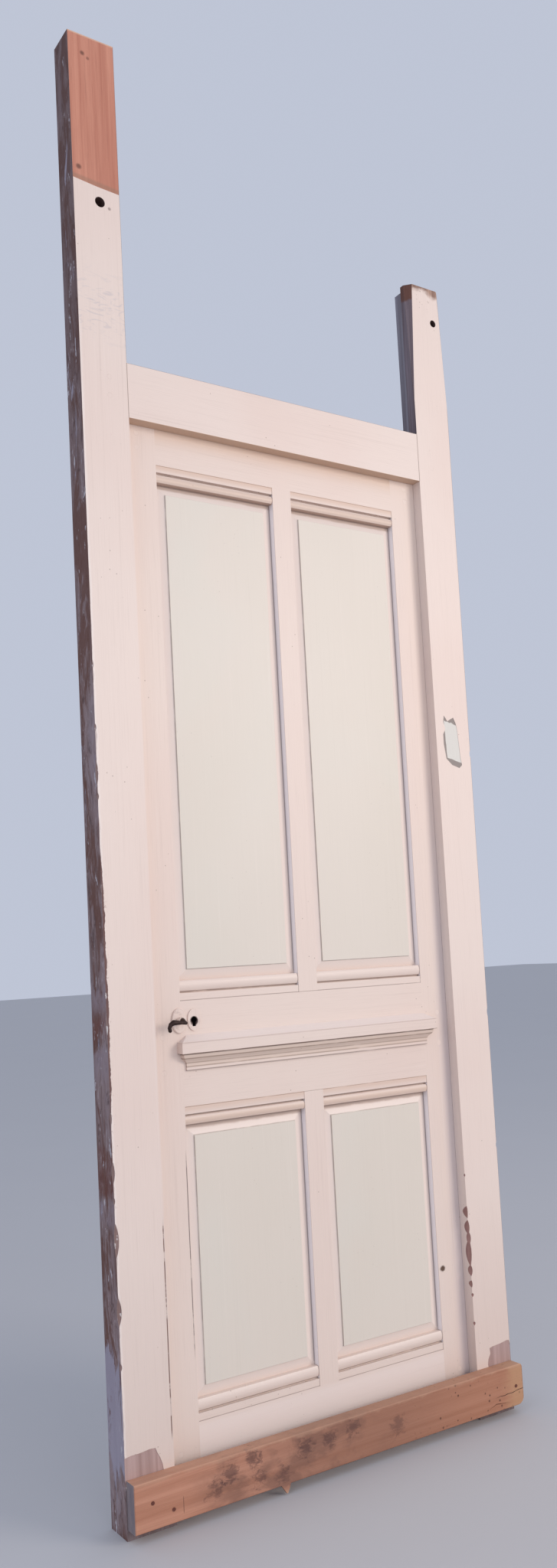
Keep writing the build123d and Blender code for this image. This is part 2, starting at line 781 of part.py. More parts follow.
# Broad moulding across the lock rail. Both ends return to the leaf with the same profile,
# so the run along X is intersected with the outline seen from the front.
with BuildPart() as rail_moulding:
    end = rail_moulding_left - rail_moulding_projection
    with BuildSketch(section_plane(end, leaf_front, rail_moulding_foot)):
        rail_moulding_profile(0, 1)
    extrude(amount=-(stile_right - rail_moulding_left + 2 * rail_moulding_projection))
    with BuildSketch(front_plane(leaf_front, 0, rail_moulding_foot)):
        rail_moulding_profile(stile_right, 1)
        rail_moulding_profile(rail_moulding_left, -1)
        with Locations(((rail_moulding_left + stile_right) / 2, rail_moulding_height / 2)):
            Rectangle(stile_right - rail_moulding_left, rail_moulding_height)
    extrude(amount=rail_moulding_projection, mode=Mode.INTERSECT)
    drill(rail_moulding_brads, leaf_front - brad_length + brad_bite, leaf_front + past,
          brad_radius + wood_fit)
keep("rail_moulding", rail_moulding.part)


# Handle
def make_lever(hub_start, way):
    """A hub on the spindle, a thin neck and a forged bar that thickens and droops. way is -1 in front."""
    links = [
        (Vector(spindle_x - left, hub_start + way * out, lock_height + up), radius)
        for left, out, up, radius in lever_links
    ]
    with BuildPart() as lever:
        rod("Y", (spindle_x, lock_height), hub_start, hub_start + way * lever_hub_length, lever_hub_radius)
        for centre, radius in links:
            with Locations(centre):
                Sphere(radius)
        for (start, start_radius), (end, end_radius) in zip(links, links[1:]):
            with Locations(Plane(origin=start, z_dir=end - start)):
                Cone(start_radius, end_radius, (end - start).length, align=END_ON)
        block(
            grown((spindle_x, spindle_x), spindle_square / 2 + spindle_fit),
            grown(sorted((hub_start, spindle_ends[way])), spindle_end_play),
            grown((lock_height, lock_height), spindle_square / 2 + spindle_fit),
            mode=Mode.SUBTRACT,
        )
    return lever.part


spindle_ends = {
    -1: front_hub_start - spindle_in_lever,
    1: rear_hub_start + spindle_in_lever,
}
keep("front_lever", make_lever(front_hub_start, -1))
with BuildPart() as spindle:
    block(
        grown((spindle_x, spindle_x), spindle_square / 2),
        (spindle_ends[-1], spindle_ends[1]),
        grown((lock_height, lock_height), spindle_square / 2),
    )
keep("spindle", spindle.part)
keep("rear_lever", make_lever(rear_hub_start, 1))

# Follower: the lock's hub on the spindle, with the arm that draws the latch
with BuildPart() as follower:
    rod("Y", (spindle_x, lock_height), leaf_back + lever_run, hub_end, follower_radius)
    block(
        grown((spindle_x, spindle_x), follower_arm_width / 2),
        grown((bolt_front, bolt_back), -follower_arm_set),
        (lock_height - follower_arm, lock_height),
    )
    block(
        grown((spindle_x, spindle_x), spindle_square / 2 + spindle_fit),
        (leaf_back, hub_end + past),
        grown((lock_height, lock_height), spindle_square / 2 + spindle_fit),
        mode=Mode.SUBTRACT,
    )
keep("follower", follower.part)


# Rose and keyhole plate
with BuildPart() as rose:
    with BuildSketch(front_plane(leaf_front, spindle_x, lock_height)):
        Ellipse(rose_width / 2, rose_height / 2)
    extrude(amount=rose_thick)
    chamfer(rose.faces().sort_by(Axis.Y)[0].edges(), rose_edge)
    drill([(spindle_x, lock_height)], leaf_front - rose_thick - past, leaf_front + past, rose_hole_radius)
keep("rose", rose.part)

with BuildPart() as keyhole_plate:
    with BuildSketch(front_plane(leaf_front, key_x, lock_height)):
        Ellipse(key_plate_width / 2, key_plate_height / 2)
    extrude(amount=key_plate_thick)
    cut_keyhole(leaf_front - key_plate_thick - past, leaf_front + past, 0)
keep("keyhole_plate", keyhole_plate.part)

# Rim lock on the leaf's back. Its case is a pressed box, open to the leaf.
case_z = (lock_height - lock_case_height / 2, lock_height + lock_case_height / 2)
latch_z = (lock_height - latch_low, lock_height - latch_high)
bolt_z = (lock_height + bolt_low, lock_height + bolt_high)
bolt_y = (bolt_front, bolt_back)
stump_x = leaf_left + stump_inset
lock_screw_heads = [(x, case_back, z) for x, z in lock_screw_places]
lug_left = spindle_x + follower_arm_width / 2 + arm_play
lug_right = lug_left + latch_lug_thick

with BuildPart() as lock_case:
    block((leaf_left, case_right), (leaf_back, case_back), case_z)
    block(
        grown((leaf_left, case_right), -sheet_thick),
        (leaf_back - past, case_back - sheet_thick),
        grown(case_z, -sheet_thick),
        mode=Mode.SUBTRACT,
    )
    for place in lock_screw_places:
        rod("Y", place, leaf_back, case_back - sheet_thick, pillar_radius)
    rod("Y", (stump_x, sum(bolt_z) / 2), bolt_front, case_back - sheet_thick, stump_radius)
    for span in (latch_z, bolt_z):
        block(
            grown((leaf_left, leaf_left + sheet_thick), past),
            grown(bolt_y, bolt_run),
            grown(span, bolt_run),
            mode=Mode.SUBTRACT,
        )
    drill([(spindle_x, lock_height)], leaf_back, case_back + past, follower_radius + follower_run)
    cut_keyhole(case_back - sheet_thick - past, case_back + past, 0)
    screw_holes(lock_screw_heads, (0, -1, 0), lock_case_depth)
keep("lock_case", lock_case.part)

with BuildPart() as lock_screws:
    screws(lock_screw_heads, (0, -1, 0), lock_case_depth + lock_screw_bite)
keep("lock_screws", lock_screws.part)

# Latch: a bevelled head, a low tail and the lug that the follower's arm pushes
latch_tip = leaf_left - latch_throw
with BuildPart() as latch_bolt:
    block((latch_tip, latch_tip + latch_head_length), bolt_y, latch_z)
    block((latch_tip, lug_right), bolt_y, (latch_z[0], latch_z[0] + latch_tail_height))
    block((lug_left, lug_right), bolt_y, (latch_z[0], latch_z[0] + latch_tail_height + latch_lug_height))
    chamfer(latch_bolt.edges().filter_by(Axis.Z).sort_by(Axis.X)[:2].sort_by(Axis.Y)[0], latch_bevel)
keep("latch_bolt", latch_bolt.part)

# Latch spring: an upright blade in a block at the case's foot, leaning on the lug
with BuildPart() as latch_spring:
    root = case_z[0] + sheet_thick
    strip_x = lug_right + arm_play
    block((strip_x, strip_x + spring_strip), grown((sum(bolt_y) / 2,) * 2, spring_width / 2),
          (root, root + spring_rise))
    block((strip_x, strip_x + spring_block), grown((sum(bolt_y) / 2,) * 2, spring_width / 2),
          (root, root + spring_block))
keep("latch_spring", latch_spring.part)

# Dead bolt: slotted to ride on the case's stump, with a notch for the key
with BuildPart() as dead_bolt:
    block((leaf_left, leaf_left + bolt_length), bolt_y, bolt_z)
    slot_radius = stump_radius + bolt_run
    block(
        (stump_x - slot_radius, stump_x + slot_radius + bolt_travel),
        grown(bolt_y, past),
        grown((sum(bolt_z) / 2,) * 2, slot_radius),
        mode=Mode.SUBTRACT,
    )
    block(
        grown((key_x + bolt_travel / 2,) * 2, talon_width / 2),
        grown(bolt_y, past),
        (bolt_z[0] - past, bolt_z[0] + talon_depth),
        mode=Mode.SUBTRACT,
    )
keep("dead_bolt", dead_bolt.part)

# Keeper: a box open to the lock and to the post, with a screwed ear above and below
keeper_x = (keeper_left, keeper_right)
keeper_screw_heads = [(x, frame_depth + keeper_ear_thick, z) for x, z in keeper_screw_places]
with BuildPart() as keeper:
    block(keeper_x, (frame_depth, keeper_back), (keeper_low, keeper_high))
    ears = grown((keeper_low, keeper_high), keeper_ear)
    block(keeper_x, (frame_depth, frame_depth + keeper_ear_thick), ears)
    block(
        (keeper_left + keeper_wall, keeper_right + past),
        (frame_depth - past, keeper_back - keeper_wall),
        grown((keeper_low, keeper_high), -keeper_wall),
        mode=Mode.SUBTRACT,
    )
    screw_holes(keeper_screw_heads, (0, -1, 0), keeper_ear_thick)
keep("keeper", keeper.part)

with BuildPart() as keeper_screws:
    screws(keeper_screw_heads, (0, -1, 0), keeper_ear_thick + lock_screw_bite)
keep("keeper_screws", keeper_screws.part)


# Lift-off hinges: the frame's half below with the pin, the leaf's half above with the bore
def make_hinge_half(height, side):
    """A blade let into the timber and a barrel behind it. side is -1 for the leaf's half."""
    face = rebate_x if side > 0 else leaf_right
    back = face + side * hinge_plate
    x = (min(face, back), max(face, back))
    ends = grown((height, height), hinge_height / 2)
    ring = grown((height, height), hinge_ring_thick / 2)
    barrel = (ends[0], ring[0]) if side > 0 else (ring[1] + hinge_lift, ends[1])
    screw_heads = [(face, hinge_screw_y, height + drop) for drop in hinge_screw_drops]
    with BuildPart() as half:
        with Locations((hinge_x, hinge_y, barrel[0])):
            Cylinder(hinge_barrel_radius, barrel[1] - barrel[0], align=END_ON)
        outer_end = half.faces().sort_by(Axis.Z)[0 if side > 0 else -1]
        chamfer(outer_end.edges(), hinge_chamfer)
        block(x, (frame_depth, hinge_y), grown(barrel, -hinge_chamfer))
        block(x, (frame_depth - hinge_blade, frame_depth), ends)
        if side > 0:
            with Locations((hinge_x, hinge_y, ring[0])):
                Cylinder(hinge_pin_radius, hinge_pin_length, align=END_ON)
        else:
            with Locations((hinge_x, hinge_y, ring[0])):
                Cylinder(hinge_pin_radius + hinge_pin_run, hinge_pin_length + hinge_lift, align=END_ON,
                         mode=Mode.SUBTRACT)
        screw_holes(screw_heads, (side, 0, 0), hinge_plate)
    return half.part


for place_name, height in hinge_heights.items():
    keep(place_name + "_hinge_frame_half", make_hinge_half(height, 1))
    keep(place_name + "_hinge_leaf_half", make_hinge_half(height, -1))

with BuildPart() as hinge_rings:
    for height in hinge_heights.values():
        with Locations((hinge_x, hinge_y, height)):
            Cylinder(hinge_barrel_radius, hinge_ring_thick)
            Cylinder(hinge_pin_radius + hinge_pin_run, 2 * hinge_ring_thick, mode=Mode.SUBTRACT)
keep("hinge_rings", hinge_rings.part)

for screw_name, face, side in (("hinge_screws_frame", rebate_x, 1), ("hinge_screws_leaf", leaf_right, -1)):
    with BuildPart() as hinge_screws:
        heads = [(face, hinge_screw_y, height + drop)
                 for height in hinge_heights.values() for drop in hinge_screw_drops]
        screws(heads, (side, 0, 0), hinge_screw_bite)
    keep(screw_name, hinge_screws.part)

# Brads of the mouldings, punched below the paint
with BuildPart() as moulding_brads:
    strip_brads(strip_brad_places)
    for place in rail_moulding_brads:
        rod("Y", place, leaf_front - brad_length + brad_bite, leaf_front + brad_bite, brad_radius)
keep("moulding_brads", moulding_brads.part)

os.makedirs("parts", exist_ok=True)
for name, piece in nodes.items():
    export_step(piece, f"parts/{name}.step")
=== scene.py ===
# %% [markdown]
# # Dressing a panelled door that stands in its own frame
# The imported model already holds every piece of joinery and ironmongery in its true place. This
# lesson gives those pieces their finishes: old cream oil paint, bare and weathered timber, torn
# patches, iron. It then rebuilds the latch spring with its blade in short steps, and sets up a
# floor, soft light and the camera.

# %% Load the imported model
import math

import bmesh
import bpy
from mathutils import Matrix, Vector


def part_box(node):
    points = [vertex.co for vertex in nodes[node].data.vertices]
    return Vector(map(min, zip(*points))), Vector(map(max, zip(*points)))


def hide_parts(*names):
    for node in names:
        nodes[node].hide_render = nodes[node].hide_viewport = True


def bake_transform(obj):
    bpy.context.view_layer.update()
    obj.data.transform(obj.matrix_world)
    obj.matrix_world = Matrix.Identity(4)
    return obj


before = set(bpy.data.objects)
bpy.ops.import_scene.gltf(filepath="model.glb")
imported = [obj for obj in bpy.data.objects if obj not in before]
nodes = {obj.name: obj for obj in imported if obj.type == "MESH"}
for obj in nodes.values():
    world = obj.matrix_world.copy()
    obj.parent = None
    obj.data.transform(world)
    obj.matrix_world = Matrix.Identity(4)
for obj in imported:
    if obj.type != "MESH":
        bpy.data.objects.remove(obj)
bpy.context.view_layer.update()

# %% [markdown]
# ## Colours
# A colour listed here is a display colour, but the shader works in linear light.
# This helper turns one into the other, so each finish can be named by what is seen.


# %% Display colour to linear light
def tone(red, green, blue):
    """A linear RGBA colour from a display colour of 0 to 255 a channel."""
    def linear(level):
        part = level / 255
        return part / 12.92 if part <= 0.04045 else ((part + 0.055) / 1.055) ** 2.4
    return (linear(red), linear(green), linear(blue), 1.0)


print("cream in linear light:", [round(part, 3) for part in tone(235, 220, 208)])

# %% [markdown]
# ## Sums between sockets
# A finish is mostly arithmetic on noise and on the place of a point. Wiring a Math node
# for each sum hides the thought, so one small class wraps a socket that carries a number
# and lets the sum be written as a sum. Numbers may stand on either side.


# %% A number that lives in the shader
class Value:
    """A socket that carries one number."""

    def __init__(self, finish, socket):
        self.finish, self.socket = finish, socket

    def sum(self, operation, *numbers):
        settings, values = {"operation": operation}, dict(enumerate(numbers))
        made = self.finish.node("ShaderNodeMath", settings, values)
        return Value(self.finish, made.outputs[0])

    def __add__(self, other):
        return self.sum("ADD", self, other)

    __radd__ = __add__

    def __sub__(self, other):
        return self.sum("SUBTRACT", self, other)

    def __rsub__(self, other):
        return self.sum("SUBTRACT", other, self)

    def __mul__(self, other):
        return self.sum("MULTIPLY", self, other)

    __rmul__ = __mul__

    def most(self, other):
        return self.sum("MAXIMUM", self, other)

    def root(self):
        return self.sum("SQRT", self)


print("sums ready: + - * and most, root")

# %% [markdown]
# ## A finish as layers
# A painter works in coats, and so does this class: it starts from a ground colour, and
# each call of lay puts one more thing over what is there, where a mask says so, with its
# own colour, gloss and height. Close wires the result to the shader. Everything is read
# from Object coordinates, in metres, because every piece sits where the real one does.


# %% The finish and its layers
class Finish:
    """A procedural material that is built up one layer at a time."""

    def __init__(self, name, colour, roughness=0.5, metallic=0.0):
        self.material = bpy.data.materials.new(name)
        self.material.use_nodes = True
        self.tree = self.material.node_tree
        self.tree.nodes.clear()
        self.place = self.node("ShaderNodeTexCoord").outputs["Object"]
        parts = self.node("ShaderNodeSeparateXYZ", {}, {0: self.place}).outputs
        self.x, self.y, self.z = (Value(self, part) for part in parts)
        self.colour, self.roughness, self.metallic = colour, roughness, metallic
        self.height = None

    def node(self, kind, settings=None, values=None):
        """Adds one node: its settings first, then the values or links of its sockets."""
        made = self.tree.nodes.new(kind)
        for key, setting in (settings or {}).items():
            setattr(made, key, setting)
        for key, value in (values or {}).items():
            value = value.socket if isinstance(value, Value) else value
            if isinstance(value, bpy.types.NodeSocket):
                self.tree.links.new(value, made.inputs[key])
            else:
                made.inputs[key].default_value = value
        return made

    def stretched(self, stretch, offset):
        """The place of a point, moved and stretched, for a texture to read."""
        values = {0: self.place, "Location": offset, "Scale": stretch}
        return self.node("ShaderNodeMapping", {}, values).outputs[0]

    def noise(self, stretch, *, detail=4.0, roughness=0.6, distortion=0.0, offset=(0, 0, 0)):
        """Cloudy noise from 0 to 1; stretch is its frequency per metre along x, y and z."""
        made = self.node("ShaderNodeTexNoise", {}, {
            "Vector": self.stretched(stretch, offset), "Scale": 1.0, "Detail": detail,
            "Roughness": roughness, "Distortion": distortion})
        return Value(self, made.outputs[0])

    def specks(self, stretch, offset):
        """The distance to the nearest of many scattered points, in cells of that frequency."""
        values = {"Vector": self.stretched(stretch, offset), "Scale": 1.0}
        return Value(self, self.node("ShaderNodeTexVoronoi", {}, values).outputs["Distance"])

    def climb(self, value, low, high):
        """0 below low, 1 above high, smooth between; it falls where low is above high."""
        made = self.node("ShaderNodeMapRange", {"interpolation_type": "SMOOTHSTEP"}, {
            "Value": value, "From Min": low, "From Max": high})
        return Value(self, made.outputs[0])

    def within(self, value, low, high, soft):
        """1 between low and high, with soft edges."""
        above_low = self.climb(value, low - soft, low + soft)
        return above_low * self.climb(value, high + soft, high - soft)

    def spot(self, centre, radius, soft, ragged=0.0):
        """1 inside a round spot in the x-z plane."""
        across, up = self.x - centre[0], self.z - centre[1]
        away = (across * across + up * up).root() + ragged
        return self.climb(away, radius * (1 + soft), radius * (1 - soft))

    def mix(self, mask, first, second):
        """A colour between two colours."""
        made = self.node("ShaderNodeMix", {"data_type": "RGBA"}, {0: mask, 6: first, 7: second})
        return made.outputs[2]

    def lay(self, mask, colour=None, roughness=None, height=None, metallic=None):
        """Puts a layer over what is there, where mask is 1."""
        if colour is not None:
            self.colour = self.mix(mask, self.colour, colour)
        if roughness is not None:
            self.roughness = mask * (roughness - self.roughness) + self.roughness
        if metallic is not None:
            self.metallic = mask * (metallic - self.metallic) + self.metallic
        if height is not None:
            self.raise_by(mask * height)

    def raise_by(self, height):
        """Adds to the surface's relief, in metres."""
        self.height = height if self.height is None else self.height + height

    def close(self):
        """Wires the layers to the shader and returns the material."""
        values = {"Base Color": self.colour, "Roughness": self.roughness, "Metallic": self.metallic}
        if self.height is not None:
            relief = {"Height": self.height, "Distance": 1.0, "Strength": 1.0}
            values["Normal"] = self.node("ShaderNodeBump", {}, relief).outputs[0]
        surface = self.node("ShaderNodeBsdfPrincipled", {}, values)
        self.node("ShaderNodeOutputMaterial", {}, {0: surface.outputs[0]})
        print("finish:", self.material.name, "of", len(self.tree.nodes), "nodes")
        return self.material


print("a finish is made by Finish(name, colour), lay(...) and close()")

# %% [markdown]
# ## Places and colours that pieces share
# All places are in metres in the door's own frame: x across it, y from the front of the
# posts to the back, z up from the floor.

# %% Places on the door
POST_INNER, POST_OUTER = 0.3500, 0.4440     # how far a post's two sides lie from the middle
STOP_BACK = 0.0240                          # depth of the stops that the leaf shuts against
HEAD_FOOT, HEAD_TOP = 1.976, 2.082          # the head rail's two edges
PAINT_END, PAINT_FALL = 2.4195, 0.085       # end of the left post's paint, and how it slants
LEFT_HOLE = ((-0.391, 2.386), 0.0108)       # a horn's fixing hole: x and z, and its radius
RIGHT_HOLE = ((0.418, 2.351), 0.0088)
LEAF_FRONT, LEAF_BACK = 0.0245, 0.0615      # depths of the leaf's two faces
FIELD_FACE, PANEL_EDGE = 0.0305, 0.0395     # depths of a panel's field and of its edge
OPENING_SIDE = 0.2850                       # how far the panel openings reach from the middle
NEAR_EDGE = 0.3600                          # and the same to just short of the leaf's own edge
KEYHOLE = (-0.259, 0.854)                   # x and z of its middle in the plate
print("the posts' faces are", round(POST_OUTER - POST_INNER, 4), "m wide")

# %% Colours of paint, dirt and painted shade
FRAME_CREAM, FRAME_WARM = tone(231, 215, 205), tone(226, 203, 192)
LEAF_CREAM, FIELD_CREAM = tone(229, 212, 201), tone(222, 213, 201)
GRIME, QUIRK_DUST_AND_SHADE = tone(122, 98, 84), tone(118, 94, 84)
PLASTER, HOLE_SHADE = tone(165, 159, 174), tone(84, 60, 57)
print("paint, grime, dust and plaster are named")

# %% [markdown]
# ## The coat of oil paint
# The paint is thick and old. The brush left fine streaks along the grain, the grain
# itself has risen through, and the cream has yellowed unevenly and picked up dust. So the
# coat has a slow change of tint, streaks that are long one way and short the other, a
# faint grain relief and a scatter of small specks. Posts and stiles run upright, rails
# and mouldings run across, which is the only difference between the two sets of stretches.

# %% Stretches for the two ways that timber runs
UPRIGHT = {"streak": (900, 900, 9), "grain": (160, 160, 2.2),
           "figure": (38, 38, 0.9), "fibre": (420, 420, 12)}
ACROSS = {kind: (along, short, short) for kind, (short, _, along) in UPRIGHT.items()}
print("stretches across:", ACROSS)


# %% A painted surface
def oil_paint(name, run, cream, warm=FRAME_WARM, wear=1.0):
    """A finish that holds aged cream paint over timber that runs upright or across."""
    coat = Finish(name, cream, roughness=0.42)
    tint = coat.noise((2.6, 2.6, 1.7), detail=2.0, roughness=0.55)
    streak = coat.noise(run["streak"], detail=2.0)
    grain = coat.noise(run["grain"], detail=3.0, distortion=0.4)
    coat.lay(coat.climb(tint, 0.35, 0.75) * 0.55, warm)
    coat.lay(coat.climb(streak, 0.5, 0.85) * 0.13 * wear, GRIME)
    coat.lay(coat.climb(grain, 0.56, 0.8) * 0.10 * wear, GRIME, roughness=0.55)
    coat.lay(coat.climb(grain, 0.42, 0.2) * 0.16, tone(242, 230, 222))
    coat.raise_by(streak * 0.00005 * wear)
    coat.raise_by(grain * 0.00014 * wear)
    dust = coat.climb(coat.specks((70, 70, 70), (3.1, 0.4, 1.7)), 0.1, 0.05)
    lone = coat.noise((11, 11, 11), detail=1.0, roughness=0.5, offset=(5, 2, 8))
    dust = dust * coat.climb(lone, 0.56, 0.66)
    coat.lay(dust * 0.55 * wear, GRIME, roughness=0.7, height=-0.00015)
    return coat


def dirt_line(coat, mask):
    """Lays the dirt that settles in the line between two pieces."""
    coat.lay(mask, GRIME, roughness=0.8, height=-0.0003)


def darken_low(coat):
    """Lays a faint darker, warmer tint on the foot of a post, strongest near the floor."""
    coat.lay(coat.climb(coat.z, 0.60, 0.10) * 0.22, tone(190, 168, 156))


print("oil paint ready")

# %% [markdown]
# ## Bare timber
# Where the paint is gone, the wood shows: straight softwood with pale early wood and
# darker, harder late-wood lines. The posts' outer sides were built into a wall, so they
# are grey-brown and rusty, with lilac-grey plaster caught in the pores.

# %% Tones of wood: pale, deep and hairline
BARE_WOOD = (tone(205, 143, 120), tone(174, 108, 88), tone(120, 68, 56))
OLD_WOOD = (tone(150, 129, 129), tone(104, 80, 76), tone(66, 48, 46))
DAMP_WOOD = (tone(138, 124, 126), tone(96, 78, 76), tone(64, 48, 46))
TORN_WOOD = (tone(190, 163, 158), tone(152, 124, 118))
PINE_WOOD = (tone(196, 142, 117), tone(168, 113, 87), tone(132, 86, 70))
print("five kinds of bare wood are named")


# %% Timber without paint
def timber(coat, run, pale, deep, fine=None):
    """The colour and relief of bare softwood: wide figure, grain lines, hairline fibres."""
    figure = coat.noise(run["figure"], distortion=1.4)
    grain = coat.noise(run["grain"], roughness=0.65, distortion=0.8, offset=(2, 7, 3))
    fibre = coat.noise(run["fibre"], detail=3.0, roughness=0.7, offset=(4, 1, 6))
    colour = coat.mix(coat.climb(figure, 0.32, 0.74) * 0.8, pale, deep)
    colour = coat.mix(coat.climb(grain, 0.45, 0.75) * 0.4, colour, deep)
    colour = coat.mix(coat.climb(fibre, 0.5, 0.85) * 0.35, colour, fine or deep)
    return colour, grain * 0.0004 + fibre * 0.00018


def lay_timber(coat, mask, run, wood, roughness=None, rise=None):
    """Lays bare timber where mask is 1; rise says how far its grain stands out."""
    colour, relief = timber(coat, run, *wood)
    coat.lay(mask, colour, roughness=roughness, height=None if rise is None else relief * rise)


print("timber ready")


# %% The bare outer side of a post
def bare_side(coat, side, shift=0.0, bands=()):
    """Lays weathered wood, rusty stains and plaster on the outer side of a post."""
    mask = coat.climb(coat.x * side, POST_OUTER - 0.0004, POST_OUTER - 0.0001)
    lay_timber(coat, mask, UPRIGHT, OLD_WOOD, roughness=0.85, rise=3.0)
    mottle = coat.noise((70, 70, 26), detail=5.0, roughness=0.7, distortion=0.8,
                        offset=(1, 6, 2 + shift))
    coat.lay(mask * coat.climb(mottle, 0.52, 0.64) * 0.75, tone(84, 60, 58), roughness=0.9)
    coat.lay(mask * coat.climb(mottle, 0.44, 0.34) * 0.6, tone(172, 155, 157), roughness=0.9)
    rusty = coat.noise((22, 22, 5.5), detail=5.0, roughness=0.68, distortion=0.5,
                       offset=(3, 3, shift))
    coat.lay(mask * coat.climb(rusty, 0.49, 0.57) * 0.85, tone(104, 66, 54), roughness=0.85)
    coat.lay(mask * coat.climb(rusty, 0.45, 0.37) * 0.5, tone(163, 147, 152), roughness=0.9)
    for middle, half, colour in bands:
        band = coat.within(coat.z + (rusty - 0.5) * 0.12, middle - half, middle + half, 0.010)
        coat.lay(mask * band * coat.climb(mottle, 0.34, 0.58) * 0.62, colour, roughness=0.9)
    coat.lay(mask * coat.climb(coat.z, 1.5, 2.3) * 0.5, tone(84, 58, 56))
    blotch = coat.noise((34, 34, 6.5), detail=5.0, roughness=0.7, distortion=0.6,
                        offset=(9, 3, 1 + shift))
    low = coat.within(coat.z, 0.11, 0.30, 0.04)
    plaster = coat.climb(blotch + low * 0.26, 0.60, 0.68) * mask
    coat.lay(plaster * 0.85, PLASTER, roughness=0.95, height=0.0006)
    white = coat.noise((60, 60, 20), roughness=0.7, offset=(1, 8, 2 + shift))
    white = coat.climb(white, 0.62, 0.67) * mask
    coat.lay(white * 0.7, tone(206, 202, 208), roughness=0.9, height=0.0004)


def wet_foot(coat, side):
    """Turns the foot of a post, where it stood in the damp, to bare grey-brown wood."""
    ragged = coat.noise((40, 40, 30), roughness=0.65, offset=(2, 4, 6))
    torn = coat.noise((110, 110, 9), roughness=0.65, offset=(7, 1, 2))
    lower_behind = coat.climb(coat.y, 0.020, 0.050) * (0.040 + torn * 0.050)
    reach = 0.088 - lower_behind
    damp = coat.climb(coat.z + (ragged - 0.5) * 0.03 - reach, 0.004, -0.004)
    inside = coat.climb(coat.x * side, POST_OUTER - 0.0001, POST_OUTER - 0.0004)
    lay_timber(coat, damp * inside, UPRIGHT, DAMP_WOOD, roughness=0.9, rise=1.0)


print("bare sides ready")

# %% [markdown]
# ## Places that are cut below the paint
# The model has torn places, chips, worn arrises and holes cut into the posts' fronts. So
# a mask for whatever lies just under the front skin finds them all, and their height on
# the post tells them apart.

# %% Under the skin of a post
SKIN, SKIN_BLUR = 0.00035, 0.00015


def below_paint(coat, side):
    """1 where a post's front is cut below its paint."""
    deep = coat.within(coat.y, SKIN, STOP_BACK - 0.0005, SKIN_BLUR)
    return deep * coat.within(coat.x * side, POST_INNER + SKIN, POST_OUTER - SKIN, SKIN_BLUR)


def torn_foot(coat, cut):
    """Lays fresh torn wood in the patch at the foot of a post."""
    in_patch = coat.climb(coat.z, 0.16, 0.15)
    lay_timber(coat, cut * in_patch, UPRIGHT, TORN_WOOD)


print("the skin of paint counts as", SKIN * 1000, "mm thick")

# %% [markdown]
# ## The left post
# The tallest piece. Its top was hidden above the ceiling line and never painted, so the
# cream stops at a slanting line and bare reddish wood goes on to the end. The outer side
# is bare too, and along that corner chips have come off. At the foot a patch of paint has
# torn away.

# %% The left post: paint, and wear along the corner
coat = oil_paint("left_post_paint", UPRIGHT, FRAME_CREAM)
inward = coat.x + POST_OUTER                    # distance from the outer side
face = coat.climb(coat.y, 0.0008, 0.0002)       # 1 on the front itself
wander = coat.noise((18, 18, 18))
darken_low(coat)
# a bluish grey patch high on the post: a painted leaf shadow
leaf_shadow = coat.climb(coat.noise((26, 26, 60), distortion=2.0, offset=(7, 7, 7)), 0.52, 0.68)
coat.lay(leaf_shadow * coat.within(coat.z, 2.12, 2.24, 0.03) * 0.24, tone(150, 156, 174))
flaked = coat.climb(inward - (wander - 0.45) * 0.014, 0.0006, 0.0) * coat.climb(coat.z, 1.9, 1.5)
coat.lay(flaked * 0.8, tone(150, 120, 112), roughness=0.8)
# a near-white band just in from the outer corner, high up: a painted highlight along the worn paint
# edge
edge_highlight = coat.climb(inward - (wander - 0.5) * 0.008, 0.0060, 0.0020)
coat.lay(edge_highlight * coat.climb(coat.z, 2.40, 1.90) * 0.4, tone(247, 240, 236))
worn = coat.noise((3, 3, 34), roughness=0.7, offset=(5, 5, 1))
worn = worn * coat.within(coat.z, 0.72, 1.14, 0.06)
worn_edge = coat.climb(inward - worn * 0.009, 0.0002, -0.0010)
coat.lay(worn_edge * face, tone(112, 84, 80), roughness=0.85, height=-0.0003)
crumbs = coat.noise((150, 150, 110), detail=3.0, roughness=0.7, offset=(8, 1, 4))
crumbs = coat.climb(crumbs, 0.60, 0.66) * coat.climb(inward, 0.014, 0.003)
crumbs = crumbs * coat.within(coat.z, 0.55, 1.16, 0.08)
coat.lay(crumbs * 0.6, tone(178, 154, 146), roughness=0.8, height=-0.0003)
print("the corner is worn, chipped and rimmed")

# %% The left post: the head rail's joint and the dashed seam
joint = coat.climb(coat.x, -POST_INNER - 0.0008, -POST_INNER - 0.0003)
dirt_line(coat, joint * coat.within(coat.z, HEAD_FOOT, HEAD_TOP, 0.001) * 0.7)
dashes = coat.climb(coat.noise((1, 1, 26), roughness=0.7, offset=(0, 0, 7)), 0.42, 0.52)
seam = coat.within(coat.x, -POST_INNER - 0.0032, -POST_INNER - 0.0014, 0.0005) * face
seam = seam * coat.within(coat.z, 0.15, 0.51, 0.012)
coat.lay(seam * (dashes * 0.7 + 0.25), tone(112, 76, 66), roughness=0.9, height=-0.0005)
print("joint and seam drawn")

# %% The left post: torn places, the bare top and its marks
# each mark: x and z of its middle, its radius and how dark it is
NAIL_MARKS = (((-0.372, 2.378), 0.0028, 0.55), ((-0.415, 2.675), 0.0045, 0.7),
              ((-0.404, 2.668), 0.003, 0.5), ((-0.431, 2.444), 0.005, 0.7))
cut = below_paint(coat, -1)
lay_timber(coat, cut, UPRIGHT, (tone(160, 132, 124), tone(106, 78, 72)), roughness=0.8, rise=1.0)
chalk = coat.climb(coat.noise((60, 60, 40), detail=3.0, offset=(0, 5, 2)), 0.56, 0.62)
coat.lay(cut * chalk * 0.8, tone(236, 228, 222))
torn_foot(coat, cut)
top = cut * coat.climb(coat.z, PAINT_END - 0.0145, PAINT_END - 0.0115)
lay_timber(coat, top, UPRIGHT, BARE_WOOD, roughness=0.75)
above_line = coat.z - (PAINT_END - inward * PAINT_FALL)
